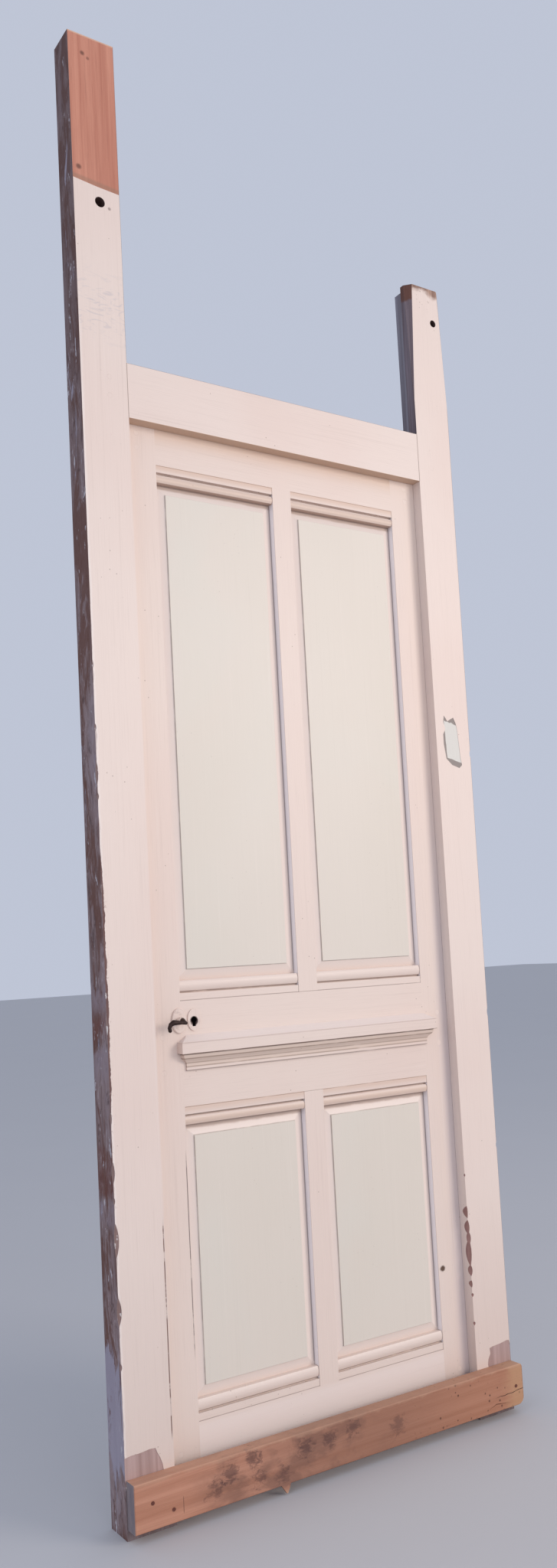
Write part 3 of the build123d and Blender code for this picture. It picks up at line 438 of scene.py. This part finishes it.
coat.lay(top * coat.within(above_line, 0.0, 0.010, 0.003) * 0.5, tone(150, 118, 98))
end_arris = coat.climb(coat.z, 2.7085, 2.7105)
coat.lay(end_arris * 0.8, tone(215, 180, 156), roughness=0.85)
for centre, radius, strength in NAIL_MARKS:
    mark = coat.spot(centre, radius, soft=0.5, ragged=(wander - 0.5) * 0.006)
    coat.lay(mark * strength, tone(70, 40, 34), roughness=0.8)
# the fixing hole is painted dark inside: painted shade
coat.lay(cut * coat.spot(*LEFT_HOLE, soft=0.02), HOLE_SHADE)
print("torn places and", len(NAIL_MARKS), "marks laid")

# %% The left post: its sides and foot
RUST_BAND, LILAC_BAND = tone(112, 64, 54), tone(153, 137, 144)
# each band: the height of its middle, half its width and its colour
SIDE_BANDS = ((0.860, 0.017, RUST_BAND), (0.605, 0.042, RUST_BAND), (0.785, 0.028, LILAC_BAND),
              (0.905, 0.016, LILAC_BAND), (0.535, 0.018, LILAC_BAND))
inner = coat.climb(coat.x, -POST_INNER - 0.0004, -POST_INNER - 0.0001)
above_head = coat.climb(coat.z, HEAD_TOP + 0.0005, HEAD_TOP + 0.0025)
lay_timber(coat, inner * above_head, UPRIGHT, (tone(96, 78, 72), tone(44, 32, 31)),
           roughness=0.9, rise=1.0)
wet_foot(coat, -1)
bare_side(coat, -1, bands=SIDE_BANDS)
left_post_paint = coat.close()

# %% [markdown]
# ## The right post
# It ends lower, its top is weathered grey-brown, and its horn is worn at both corners.
# Its inner corner has been knocked: a row of chips shows brown wood. Higher up, a flake of
# paint some nine centimetres tall has come off down to the white ground coat, with a grey
# torn shadow on its left and lower edges. Its foot has a torn patch like the other post's.

# %% The right post: paint, joint and frayed top
coat = oil_paint("right_post_paint", UPRIGHT, FRAME_CREAM)
darken_low(coat)
wander = coat.noise((22, 22, 22), offset=(4, 4, 4))
joint = coat.climb(coat.x, POST_INNER + 0.0010, POST_INNER + 0.0004)
dirt_line(coat, joint * coat.within(coat.z, HEAD_FOOT, HEAD_TOP, 0.001) * 0.7)
fray = coat.climb(coat.z + (wander - 0.5) * 0.05, 2.408, 2.425)
lay_timber(coat, fray, UPRIGHT, (tone(176, 146, 130), tone(112, 82, 70)), roughness=0.9, rise=1.0)
speckle = coat.climb(coat.specks((90, 90, 90), (2, 5, 1)), 0.16, 0.10)
coat.lay(speckle * coat.climb(coat.z, 2.36, 2.40) * 0.5, tone(126, 104, 88))
print("paint and top laid")

# %% The right post: chips, torn foot and the flake
cut = below_paint(coat, 1)
lay_timber(coat, cut, UPRIGHT, (tone(172, 134, 124), tone(128, 92, 90), tone(96, 66, 62)),
           roughness=0.85, rise=1.0)
torn_foot(coat, cut)
flake = cut * coat.within(coat.z, 1.33, 1.48, 0.001) * coat.climb(coat.x, 0.366, 0.367)
coat.lay(flake, tone(222, 219, 211), roughness=0.7)
rag = (wander - 0.5) * 0.012        # frays the edges of the torn shadow, which all lean a little
lower_edge = coat.climb(coat.z + rag - (0.4200 - coat.x) * 0.25, 1.3575, 1.3560)
left_edge = coat.climb(coat.x + rag * 0.6 + (coat.z - 1.40) * 0.05, 0.3775, 0.3765)
upper_bits = coat.climb(coat.z + rag * 2.0 + (coat.x - 0.39) * 0.3, 1.444, 1.446)
shadow = lower_edge.most(left_edge).most(upper_bits)
coat.lay(flake * shadow, tone(152, 142, 136), roughness=0.75)
print("chips and flake laid")

# %% The right post: the horn's dark inner side, its hole, side and foot
horn = cut * coat.climb(coat.z, 2.14, 2.16)
above_head = coat.climb(coat.z, HEAD_TOP + 0.0005, HEAD_TOP + 0.0025)
inner = coat.climb(coat.x, POST_INNER + 0.0004, POST_INNER + 0.0001) * above_head
rebate = coat.climb(coat.x, POST_INNER + 0.0154, POST_INNER + 0.0151)
rebate = rebate * coat.climb(coat.y, STOP_BACK + 0.0003, STOP_BACK + 0.0008)
lay_timber(coat, rebate * above_head, UPRIGHT, (tone(150, 146, 156), tone(104, 96, 102)),
           roughness=0.95, rise=2.0)
dark_side = horn.most(inner)
lay_timber(coat, dark_side, UPRIGHT, (tone(134, 122, 130), tone(84, 68, 70)),
           roughness=0.95, rise=2.0)
rusty_end = coat.climb(coat.z + (wander - 0.5) * 0.02, 2.392, 2.398)
coat.lay(dark_side * rusty_end, tone(104, 70, 60), roughness=0.9)
# the fixing hole is painted dark inside: painted shade
coat.lay(cut * coat.spot(*RIGHT_HOLE, soft=0.02), HOLE_SHADE)
wet_foot(coat, 1)
bare_side(coat, 1, shift=5.0)
right_post_paint = coat.close()

# %% [markdown]
# ## The head rail and the rest of the frame
# The rail's front is painted like the posts. Its top met the plaster and is rough and dusty, and
# its underside, where the door shuts, is painted a warm ochre as painted shade.

# %% The head rail's finish
head_low, head_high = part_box("head_rail")
coat = oil_paint("head_rail_paint", ACROSS, FRAME_CREAM)
rough_top = coat.climb(coat.z, head_high.z - 0.0004, head_high.z - 0.0001)
lay_timber(coat, rough_top, ACROSS, (tone(120, 100, 90), tone(66, 50, 46)), roughness=0.9, rise=1.0)
joint = coat.climb(coat.x * coat.x, (POST_INNER - 0.0010) ** 2, (POST_INNER - 0.0003) ** 2)
dirt_line(coat, joint * coat.climb(coat.y, 0.001, 0.0005) * 0.7)
# the underside is painted a warm ochre: painted shade
soffit_shade = coat.climb(coat.z, head_low.z + 0.0008, head_low.z + 0.0002)
coat.lay(soffit_shade * 0.75, tone(196, 158, 126), roughness=0.6)
head_rail_paint = coat.close()

# %% The pegs that pin the joints
peg_paint = oil_paint("peg_paint", UPRIGHT, FRAME_CREAM).close()

# %% [markdown]
# ## The leaf
# Stiles, muntins and rails share one coat, brushed along each piece. The fields of the panels are a
# shade greener, because they were painted with the flat of the brush and hold less dirt. Where the
# leaf meets the post and the mouldings, brown lines are drawn: dust in the joints, with painted
# shade. The reveals of the openings are lightened as painted light and darkened deep in their
# corners as painted shade. The top rail under the head rail and the hinge stile beside the post
# carry painted shade, and the foot of the bottom rail is lightened as painted light.

# %% Stiles and muntins
FRONT_HALF = (0.045, 0.030)     # the leaf's depth, from where a tint ends to where it is full
lock_rail_low, lock_rail_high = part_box("lock_rail")


def leaf_upright(name):
    """Paint for an upright of the leaf: its reveals lightened as painted light, and painted shade
    deep in the corners of its openings.
    """
    coat = oil_paint(name, UPRIGHT, LEAF_CREAM)
    in_openings = coat.climb(coat.x * coat.x, NEAR_EDGE ** 2, (NEAR_EDGE - 0.002) ** 2)
    # the reveals of the openings are painted near white: painted light
    lightened_reveal = coat.within(coat.y, LEAF_FRONT + 0.0012, PANEL_EDGE + 0.0010, 0.0006)
    coat.lay(lightened_reveal * in_openings * 0.9, tone(250, 246, 248))
    # a lilac line deep where the reveals meet the panels: painted shade
    deep = coat.within(coat.y, PANEL_EDGE - 0.0014, PANEL_EDGE + 0.0010, 0.0006)
    coat.lay(deep * in_openings * 0.45, tone(116, 100, 112), roughness=0.7)
    return coat


coat = leaf_upright("lock_stile_paint")
# a dashed dark line beside the lower left opening's edge, sunk a little: a crack in the paint,
# darkened as painted shade
dashes = coat.climb(coat.noise((1, 1, 22), roughness=0.7, offset=(0, 0, 3)), 0.38, 0.5)
arris = coat.within(coat.x, -OPENING_SIDE - 0.0030, -OPENING_SIDE - 0.0016, 0.0005)
arris = arris * coat.climb(coat.y, LEAF_FRONT + 0.0008, LEAF_FRONT + 0.0002)
arris = arris * coat.within(coat.z, 0.27, 0.61, 0.02)
coat.lay(arris * (dashes * 0.5 + 0.4), tone(96, 80, 80), roughness=0.9, height=-0.0005)
lock_stile_paint = coat.close()

coat = leaf_upright("leaf_upright_paint")
below = coat.within(coat.z, lock_rail_high.z, lock_rail_high.z + 0.0010, 0.0005)
above = coat.within(coat.z, lock_rail_low.z - 0.0010, lock_rail_low.z, 0.0005)
dirt_line(coat, below.most(above) * 0.6)
leaf_upright_paint = coat.close()

coat = leaf_upright("hinge_stile_paint")
wander = coat.noise((60, 60, 60), detail=3.0)
dent = coat.spot((0.296, 0.307), 0.006, soft=0.4, ragged=(wander - 0.5) * 0.006)
coat.lay(dent, tone(96, 74, 62), roughness=0.8, height=-0.0004)
# a blue-grey tint low on the hinge stile beside the post: painted shade
stop_shade = coat.climb(coat.x, 0.315, 0.345) * coat.climb(coat.z, 1.5, 0.9)
coat.lay(stop_shade * coat.climb(coat.y, *FRONT_HALF) * 0.3, tone(150, 152, 176))
hinge_stile_paint = coat.close()

# %% Rails
coat = oil_paint("leaf_rail_paint", ACROSS, LEAF_CREAM)
# a warm ochre band along the top of the top rail, under the head rail: painted warm shade
under_head_shade = coat.climb(coat.z, 1.935, 1.985) * coat.climb(coat.y, *FRONT_HALF)
coat.lay(under_head_shade * 0.45, tone(206, 168, 134))
# the lowest strip of the bottom rail is lightened: painted light
coat.lay(coat.climb(coat.z, 0.152, 0.136) * 0.5, tone(240, 228, 222))
# the walls of the keyhole through the lock rail are painted near black: painted shade
through = coat.within(coat.y, LEAF_FRONT + 0.0006, LEAF_BACK - 0.0005, 0.0002)
keyway_shade = coat.spot((KEYHOLE[0], KEYHOLE[1] - 0.002), 0.016, soft=0.1)
coat.lay(through * keyway_shade, tone(26, 14, 14), roughness=0.95)
leaf_rail_paint = coat.close()

# %% [markdown]
# ## The panels
# Each panel is one board: a flat field, a shallow step round it and a wide sloping band that runs
# into the groove. A thin brown line follows the step: dust, with painted shade. Painted shade
# darkens the corner where the panel enters its groove, and a painted shadow lies under each
# cornice.


# %% Panels with dust and painted shade in the step round the field
def panel_paint(name):
    """Paint for one panel: dust and painted shade in the step round its field, painted shade in its
    corners, a painted shadow under its cornice.
    """
    low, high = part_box(name)
    coat = oil_paint(name + "_paint", UPRIGHT, FIELD_CREAM, warm=tone(216, 207, 193), wear=0.3)
    front = coat.climb(coat.y, 0.0430, 0.0410)      # 1 on the panel's front, 0 on its back
    blotch = coat.noise((3.1, 3.1, 2.2), detail=3.0, roughness=0.5, distortion=0.6,
                        offset=(low.x * 9, 0, low.z * 3))
    coat.lay(coat.climb(blotch, 0.4, 0.7) * 0.4, tone(216, 214, 203))
    patchy = coat.noise((24, 24, 24), detail=3.0, offset=(low.x, 4, low.z))
    bevel = coat.climb(coat.y, FIELD_FACE + 0.0024, FIELD_FACE + 0.0032) * front
    coat.lay(bevel * 0.85, tone(236, 220, 211))
    # the step round the field: dust, with painted shade
    step = coat.within(coat.y, FIELD_FACE + 0.0012, FIELD_FACE + 0.0029, 0.0003)
    coat.lay(step * coat.climb(patchy, 0.25, 0.55) * 0.4, tone(146, 126, 118), roughness=0.7)

    sill_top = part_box(name.replace("panel", "sill"))[1].z
    cornice_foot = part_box(name.replace("panel", "cornice"))[0].z
    # a lilac line where the panel enters its groove: painted shade
    corner = coat.within(coat.y, PANEL_EDGE - 0.0008, PANEL_EDGE + 0.0004, 0.0004)
    corner = corner * coat.climb(coat.z, sill_top + 0.003, sill_top + 0.008)
    coat.lay(corner * 0.45, tone(112, 102, 108), roughness=0.8)
    # a brown band on the panel just under its cornice: a painted shadow
    ragged = coat.z + (patchy - 0.5) * 0.006
    under = coat.climb(ragged, cornice_foot - 0.0110, cornice_foot - 0.0060) * front
    coat.lay(under * 0.5, tone(150, 122, 106), roughness=0.8)
    return coat.close()


panel_paints = {name: panel_paint(name) for name in (
    "upper_left_panel", "upper_right_panel", "lower_left_panel", "lower_right_panel")}

# %% [markdown]
# ## The mouldings
# A strip is planted over and under each panel, flush with the leaf, and a broad moulding runs under
# the lock. Each has deep quirks. Dark lines are painted in them and at the joints: dust in the
# joints, painted shade in the quirks and under the noses. Every line is a band of height: its
# middle as a part of the strip's own height, half its width in metres, and how dark it is. The
# faces that turn down carry warm painted shade, and the moulding's upper slope carries a painted
# highlight.

# %% Where dust and painted shade lie on each kind of strip
DUST_AND_SHADE_LINES = {
    "cornice": ((0.515, 0.0014, 0.55), (0.980, 0.0007, 0.75)),
    "sill": ((0.432, 0.0014, 0.6), (0.018, 0.0007, 0.65)),
    "moulding": ((0.109, 0.0012, 0.6), (0.215, 0.0010, 0.6), (0.345, 0.0011, 0.75),
                 (0.476, 0.0014, 0.9), (0.797, 0.0006, 0.3), (0.0, 0.0012, 0.65)),
}
strip_kinds = {name: name.rsplit("_", 1)[-1] for name in nodes}
strip_kinds = {name: kind for name, kind in strip_kinds.items() if kind in DUST_AND_SHADE_LINES}
print("strips:", list(strip_kinds))


# %% Strips with dust and painted shade in their quirks
def strip_paint(name, kind):
    """Paint for one cornice, sill or moulding, with its lines of dust and painted shade, and its
    painted light and shade.
    """
    low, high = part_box(name)
    coat = oil_paint(name + "_paint", ACROSS, LEAF_CREAM)
    patchy = coat.noise((14, 60, 60), offset=(low.x, 2, low.z))
    # each band is dust at a joint, or painted shade in a quirk or under a nose
    for part, half, strength in DUST_AND_SHADE_LINES[kind]:
        middle = low.z + part * (high.z - low.z)
        band = coat.within(coat.z, middle - half, middle + half, 0.0006)
        coat.lay(band * coat.climb(patchy, 0.2, 0.5) * strength, QUIRK_DUST_AND_SHADE, roughness=0.8)
    if kind == "moulding":
        # a warm tint in the ogee's hollow under the nose: painted shade
        hollow_shade = coat.within(coat.z, low.z + 0.006, low.z + 0.030, 0.003)
        coat.lay(hollow_shade * 0.3, tone(208, 182, 158))
        # the upper slope is painted paler: a painted highlight
        upper_edge_highlight = coat.climb(coat.z, low.z + 0.051, low.z + 0.054)
        coat.lay(upper_edge_highlight * 0.6, tone(238, 226, 220))
    else:
        # a dark line at the strip's right end, against the muntin: dust in the gap, with painted
        # shade
        corner = coat.climb(coat.x, high.x - 0.0022, high.x - 0.0010)
        coat.lay(corner * coat.climb(patchy, 0.1, 0.4) * 0.5, QUIRK_DUST_AND_SHADE, roughness=0.8)
    if kind == "cornice":
        # the cornice's underside is painted warm brown: painted shade
        soffit_shade = coat.climb(coat.z, low.z + 0.0008, low.z + 0.0002)
        coat.lay(soffit_shade * 0.6, tone(168, 132, 112), roughness=0.7)
        # the cornice's upper part is tinted warm brown: dust and painted shade
        dusty_shaded_top = coat.climb(coat.z, high.z - 0.015, high.z - 0.003)
        coat.lay(dusty_shaded_top * (0.35 if "lower" in name else 0.45), tone(204, 166, 138))
        # the lower, downward-turning part of the nose is tinted warm brown: painted shade
        nose_shade = coat.within(coat.z, low.z + 0.001, low.z + 0.012, 0.004)
        coat.lay(nose_shade * 0.45, tone(204, 172, 146))
    return coat.close()


strip_paints = {name: strip_paint(name, kind) for name, kind in strip_kinds.items()}

# %% [markdown]
# ## The batten
# A length of raw pine nailed across the feet to keep them apart while the frame was
# carried. It is orange, knotty and stained, its left end is grey from the weather, and a
# saw line and a crack show where it was cut and nailed.

# %% Raw pine and its stains
# each stain: x and z of its middle, its radius and how dark it is
STAINS = (((-0.288, 0.049), 0.012, 0.55), ((-0.257, 0.069), 0.013, 0.6),
          ((-0.208, 0.081), 0.012, 0.65), ((-0.195, 0.045), 0.010, 0.5),
          ((-0.144, 0.038), 0.012, 0.5), ((-0.095, 0.071), 0.014, 0.65),
          ((-0.043, 0.072), 0.012, 0.55), ((0.010, 0.079), 0.012, 0.5),
          ((0.118, 0.056), 0.014, 0.45))
coat = Finish("raw_pine", None, roughness=0.7)
coat.colour, relief = timber(coat, ACROSS, *PINE_WOOD)
coat.raise_by(relief)
wander = coat.noise((22, 30, 30), roughness=0.65, distortion=0.6)
cloud = coat.climb(coat.noise((12, 12, 20), distortion=0.4, offset=(3, 0, 5)), 0.44, 0.60)
crumble = coat.noise((64, 105, 105), detail=6.0, roughness=0.74, distortion=0.8, offset=(6, 2, 9))
coat.lay(coat.climb(coat.x, -0.20, 0.05) * 0.45, tone(150, 101, 73))
coat.lay(cloud * coat.within(coat.x, -0.30, 0.06, 0.06) * 0.6, tone(112, 78, 66))
coat.lay(coat.within(coat.x, -0.22, 0.22, 0.14) * 0.42, tone(126, 90, 76))
for centre, radius, strength in STAINS:
    stain = coat.spot(centre, radius, soft=0.7, ragged=(crumble - 0.5) * 0.085)
    coat.lay(stain * strength, tone(70, 45, 47), roughness=0.8)
print("pine with", len(STAINS), "stains")

# %% The batten's bores, saw line and crack
bore = coat.climb(coat.specks((80, 80, 80), (1, 2, 3)), 0.22, 0.14) * coat.climb(wander, 0.46, 0.54)
coat.lay(bore * coat.climb(coat.x, 0.12, 0.24) * 0.8, tone(84, 54, 44), roughness=0.85,
         height=-0.0003)
near_end = coat.climb(coat.x + (wander - 0.5) * 0.06, 0.385, 0.425)
coat.lay(near_end * 0.45, tone(196, 158, 118))
saw_line = coat.within(coat.x, -0.3505, -0.3495, 0.0004) * coat.within(coat.z, 0.030, 0.056, 0.003)
coat.lay(saw_line * 0.7, tone(96, 66, 56), height=-0.0008)
crack_height = 0.046 + (coat.x - 0.40) * 0.05 + (wander - 0.5) * 0.008
crack = coat.within(coat.z - crack_height, -0.0004, 0.0004, 0.0004)
coat.lay(crack * coat.climb(coat.x, 0.36, 0.40), tone(58, 36, 32), height=-0.0015)
print("bores, saw line and crack laid")

# %% The batten's arrises and ends
batten_low, batten_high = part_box("tie_batten")
foot_arris = coat.z + (wander - 0.5) * 0.012
foot_arris = coat.climb(foot_arris, batten_low.z + 0.009, batten_low.z + 0.001)
coat.lay(foot_arris * 0.5, tone(212, 171, 144))
top_arris = coat.climb(coat.z + (wander - 0.5) * 0.016, batten_high.z - 0.007, batten_high.z)
coat.lay(top_arris * 0.45, tone(196, 156, 131))
left_end = coat.climb(coat.x, batten_low.x + 0.0006, batten_low.x + 0.0001)
rings = coat.noise((4, 160, 30), detail=3.0, distortion=0.5)
coat.lay(left_end, coat.mix(rings, tone(104, 100, 112), tone(156, 140, 136)), roughness=0.9)
right_end = coat.climb(coat.x, batten_high.x - 0.004, batten_high.x - 0.001)
coat.lay(right_end * 0.6, tone(140, 100, 80), roughness=0.85)
raw_pine = coat.close()

# %% [markdown]
# ## Iron and steel
# The lever is hand-forged and brown-black, a little smoother where it is worn, and its hub
# was painted along with the leaf. The lock case on the far side is painted sheet, dull
# brown. The hinges are bare. Each is one ground with a worn tone laid over noise.

# %% Worn metal
PIT_DEPTH = 0.00008


def iron(name, ground, worn, roughness, metallic, scale):
    """Metal with smooth wear of another tone, rust and pits; scale is their count per metre."""
    coat = Finish(name, ground, roughness, metallic)
    broad = coat.noise((scale,) * 3)
    pits = coat.noise((scale * 9,) * 3, detail=2.0)
    coat.lay(coat.climb(broad, 0.5, 0.72) * 0.5, worn, roughness=roughness * 0.7)
    rust = coat.climb(coat.noise((scale * 0.5,) * 3, roughness=0.7, offset=(6, 6, 6)), 0.56, 0.7)
    coat.lay(rust * 0.5, tone(88, 52, 36), roughness=0.85)
    coat.raise_by(pits * PIT_DEPTH)
    return coat.close()


lock_sheet = iron("lock_sheet", tone(128, 116, 102), tone(150, 138, 122),
                  roughness=0.5, metallic=0.2, scale=40)
hinge_iron = iron("hinge_iron", tone(146, 134, 120), tone(96, 88, 82),
                  roughness=0.5, metallic=0.35, scale=60)
bolt_iron = iron("bolt_iron", tone(92, 88, 84), tone(140, 134, 126),
                 roughness=0.4, metallic=0.9, scale=90)
screw_iron = iron("screw_iron", tone(88, 80, 74), tone(130, 122, 112),
                  roughness=0.5, metallic=0.8, scale=200)
nail_iron = iron("nail_iron", tone(104, 60, 50), tone(140, 92, 76),
                 roughness=0.75, metallic=0.2, scale=200)
spring_steel = iron("blued_spring", tone(70, 74, 84), tone(120, 124, 132),
                    roughness=0.35, metallic=0.95, scale=200)

# %% The lever, painted at its hub and the root of its neck
coat = Finish("lever_iron", tone(48, 32, 29), roughness=0.55, metallic=0.55)
broad = coat.noise((90, 90, 90))
coat.lay(coat.climb(broad, 0.5, 0.72) * 0.5, tone(84, 62, 54), roughness=0.4)
coat.raise_by(coat.noise((800, 800, 800), detail=2.0) * PIT_DEPTH)
painted = coat.climb(coat.y + (broad - 0.5) * 0.006, 0.0090, 0.0115)
painted = painted * coat.climb(coat.y, 0.060, 0.050)
coat.lay(painted, tone(222, 204, 192), roughness=0.45, metallic=0.0)
lever_iron = coat.close()

# %% Painted rose and keyhole plate
coat = oil_paint("plate_paint", UPRIGHT, LEAF_CREAM)
rub = coat.climb(coat.noise((120, 120, 120)), 0.56, 0.66)
coat.lay(rub * 0.25, tone(148, 124, 110), roughness=0.5)
# the keyhole in the plate and its rim are painted dark: painted shade of the hole
keyhole = coat.spot(KEYHOLE, 0.0079, soft=0.2, ragged=(rub - 0.5) * 0.001)
coat.lay(keyhole, tone(52, 30, 30), roughness=0.7)
plate_paint = coat.close()

# %% [markdown]
# ## Dressing the nodes
# Each node gets its finish in its material slots. Names do most of the sorting.

# %% Which finish each node takes
takers = (
    (left_post_paint, "left_post"), (right_post_paint, "right_post"),
    (head_rail_paint, "head_rail"), (peg_paint, "frame_pegs leaf_pegs"),
    (raw_pine, "tie_batten"), (nail_iron, "batten_nails moulding_brads"),
    (lock_stile_paint, "lock_stile"), (hinge_stile_paint, "hinge_stile"),
    (leaf_upright_paint, "upper_muntin lower_muntin"),
    (leaf_rail_paint, "top_rail lock_rail bottom_rail"),
    (plate_paint, "rose keyhole_plate"), (lever_iron, "front_lever rear_lever"),
    (bolt_iron, "spindle follower latch_bolt dead_bolt hinge_rings"),
    (lock_sheet, "lock_case keeper"), (spring_steel, "latch_spring"),
    (screw_iron, "lock_screws keeper_screws hinge_screws_frame hinge_screws_leaf"),
)
finishes = {name: material for material, names in takers for name in names.split()}
finishes.update(panel_paints)
finishes.update(strip_paints)
for name, piece in nodes.items():
    material = finishes.get(name) or (hinge_iron if "hinge" in name else None)
    if material is None:
        raise ValueError(f"no finish is set for {name}")
    if not piece.material_slots:
        piece.data.materials.append(material)
    for slot in piece.material_slots:
        slot.material = material
print(len(nodes), "nodes dressed")

# %% [markdown]
# ## The spring behind the latch
# A flat blade stands in a block at the foot of the lock and leans on the latch's lug. When the
# lever draws the latch, the blade has to give way. The imported spring is one rigid piece and
# can't, so the same shape is built here once more, extruded in short steps near its root.

# %% The spring's block, with the blade's root marked off on its top
BLADE_THICK = 0.0008
spring_low, spring_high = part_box("latch_spring")
lug_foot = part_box("latch_bolt")[0].z
block_side = spring_high.x - spring_low.x
block_top = spring_low.z + block_side
blade_back = spring_low.x + BLADE_THICK

spring = bmesh.new()
bmesh.ops.create_cube(spring, size=1.0)
block_size = (block_side, spring_high.y - spring_low.y, block_side)
bmesh.ops.scale(spring, vec=block_size, verts=spring.verts)
block_middle = ((spring_low.x + spring_high.x) / 2, (spring_low.y + spring_high.y) / 2,
                spring_low.z + block_side / 2)
bmesh.ops.translate(spring, vec=block_middle, verts=spring.verts)
everything = list(spring.verts) + list(spring.edges) + list(spring.faces)
bmesh.ops.bisect_plane(spring, geom=everything, plane_co=(blade_back, 0, 0), plane_no=(1, 0, 0))
root = [face for face in spring.faces
        if face.normal.z > 0.5 and face.calc_center_median().x < blade_back]
print("the block has", len(spring.faces), "faces,", len(root), "of them the blade's root")

# %% The blade, extruded in short steps
bends = [block_top + (lug_foot - block_top) * part for part in (0.2, 0.4, 0.6, 0.8)]
reached = block_top
for height in bends + [lug_foot, spring_high.z]:
    grown = bmesh.ops.extrude_face_region(spring, geom=root)["geom"]
    bmesh.ops.delete(spring, geom=root, context="FACES_ONLY")
    rising = [part for part in grown if isinstance(part, bmesh.types.BMVert)]
    bmesh.ops.translate(spring, vec=(0, 0, height - reached), verts=rising)
    root = [part for part in grown if isinstance(part, bmesh.types.BMFace)]
    reached = height
bmesh.ops.recalc_face_normals(spring, faces=spring.faces)
open_edges = [edge for edge in spring.edges if len(edge.link_faces) != 2]
spring_mesh = bpy.data.meshes.new("latch_spring_blade")
spring.to_mesh(spring_mesh)
spring.free()
spring_blade = bpy.data.objects.new("latch_spring_blade", spring_mesh)
bpy.context.scene.collection.objects.link(spring_blade)
spring_mesh.materials.append(spring_steel)
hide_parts("latch_spring")
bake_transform(spring_blade)
print("the blade has", len(spring_mesh.vertices), "corners and", len(open_edges), "open edges")

# %% [markdown]
# ## Floor and backdrop colour
# A plain pale floor takes the door's soft shadow. The world is a pale cool grey, so that
# surfaces turned away from the main light keep the lilac shade that open sky gives them.

# %% Floor
floor_mesh = bpy.data.meshes.new("floor")
grid = bmesh.new()
bmesh.ops.create_grid(grid, x_segments=1, y_segments=1, size=30.0)
grid.to_mesh(floor_mesh)
grid.free()
floor = bpy.data.objects.new("floor", floor_mesh)
bpy.context.scene.collection.objects.link(floor)
coat = Finish("floor_finish", tone(196, 196, 198), roughness=0.85)
coat.lay(coat.noise((1.5, 1.5, 1.5), detail=3.0, roughness=0.55) * 0.3, tone(188, 187, 190))
floor_mesh.materials.append(coat.close())
print("floor set")

# %% Sky
world = bpy.data.worlds.new("soft_sky")
world.use_nodes = True
sky = world.node_tree.nodes["Background"]
sky.inputs["Color"].default_value = (0.52, 0.56, 0.67, 1.0)
sky.inputs["Strength"].default_value = 1.0
bpy.context.scene.world = world
print("sky set")

# %% [markdown]
# ## Light
# The sun came from the front right, low and soft, so the faces that look right are
# bright and those that look left are in lilac shade. One large warm panel does that, a
# weaker one lifts the front, and a cool one from the left stands for the open sky.


# %% Soft panels of light
def light_panel(name, place, aim, size, watts, colour):
    """A square area light at place that looks at aim."""
    lamp = bpy.data.lights.new(name, "AREA")
    lamp.shape, lamp.size, lamp.energy, lamp.color = "SQUARE", size, watts, colour
    made = bpy.data.objects.new(name, lamp)
    made.location = place
    made.rotation_euler = (Vector(aim) - Vector(place)).to_track_quat("-Z", "Y").to_euler()
    bpy.context.scene.collection.objects.link(made)


light_panel("key_light", place=(3.3, -4.8, 2.8), aim=(0.0, 0.0, 1.2),
            size=2.6, watts=149, colour=(1.0, 0.89, 0.79))
light_panel("front_light", place=(-0.5, -5.2, 1.4), aim=(0.0, 0.0, 0.7),
            size=3.0, watts=46, colour=(1.0, 0.92, 0.86))
light_panel("sky_light", place=(-4.2, -1.4, 2.6), aim=(0.0, 0.0, 1.2),
            size=3.0, watts=26, colour=(0.86, 0.90, 1.0))
print("lights set")

# %% [markdown]
# ## Camera
# The photograph was taken from close by, left of the door, at chest height, with a wide
# lens held a little askew. The place, turn and lens below were fitted to the door's own
# straight edges. The frame is 727 by 2048, so the 36 mm sensor spans its height.

# %% Camera
camera_data = bpy.data.cameras.new("photo_camera")
camera_data.lens, camera_data.sensor_width, camera_data.sensor_fit = 27.598, 36.0, "AUTO"
camera_data.shift_x, camera_data.shift_y = 0.000255, 0.039715
camera = bpy.data.objects.new("photo_camera", camera_data)
camera.location = (-1.33925, -1.93416, 0.97494)
camera.rotation_euler = tuple(math.radians(turn) for turn in (94.938, 3.016, -33.036))
bpy.context.scene.collection.objects.link(camera)
bpy.context.scene.camera = camera
bpy.context.scene.view_settings.view_transform = "Standard"
print("camera set")
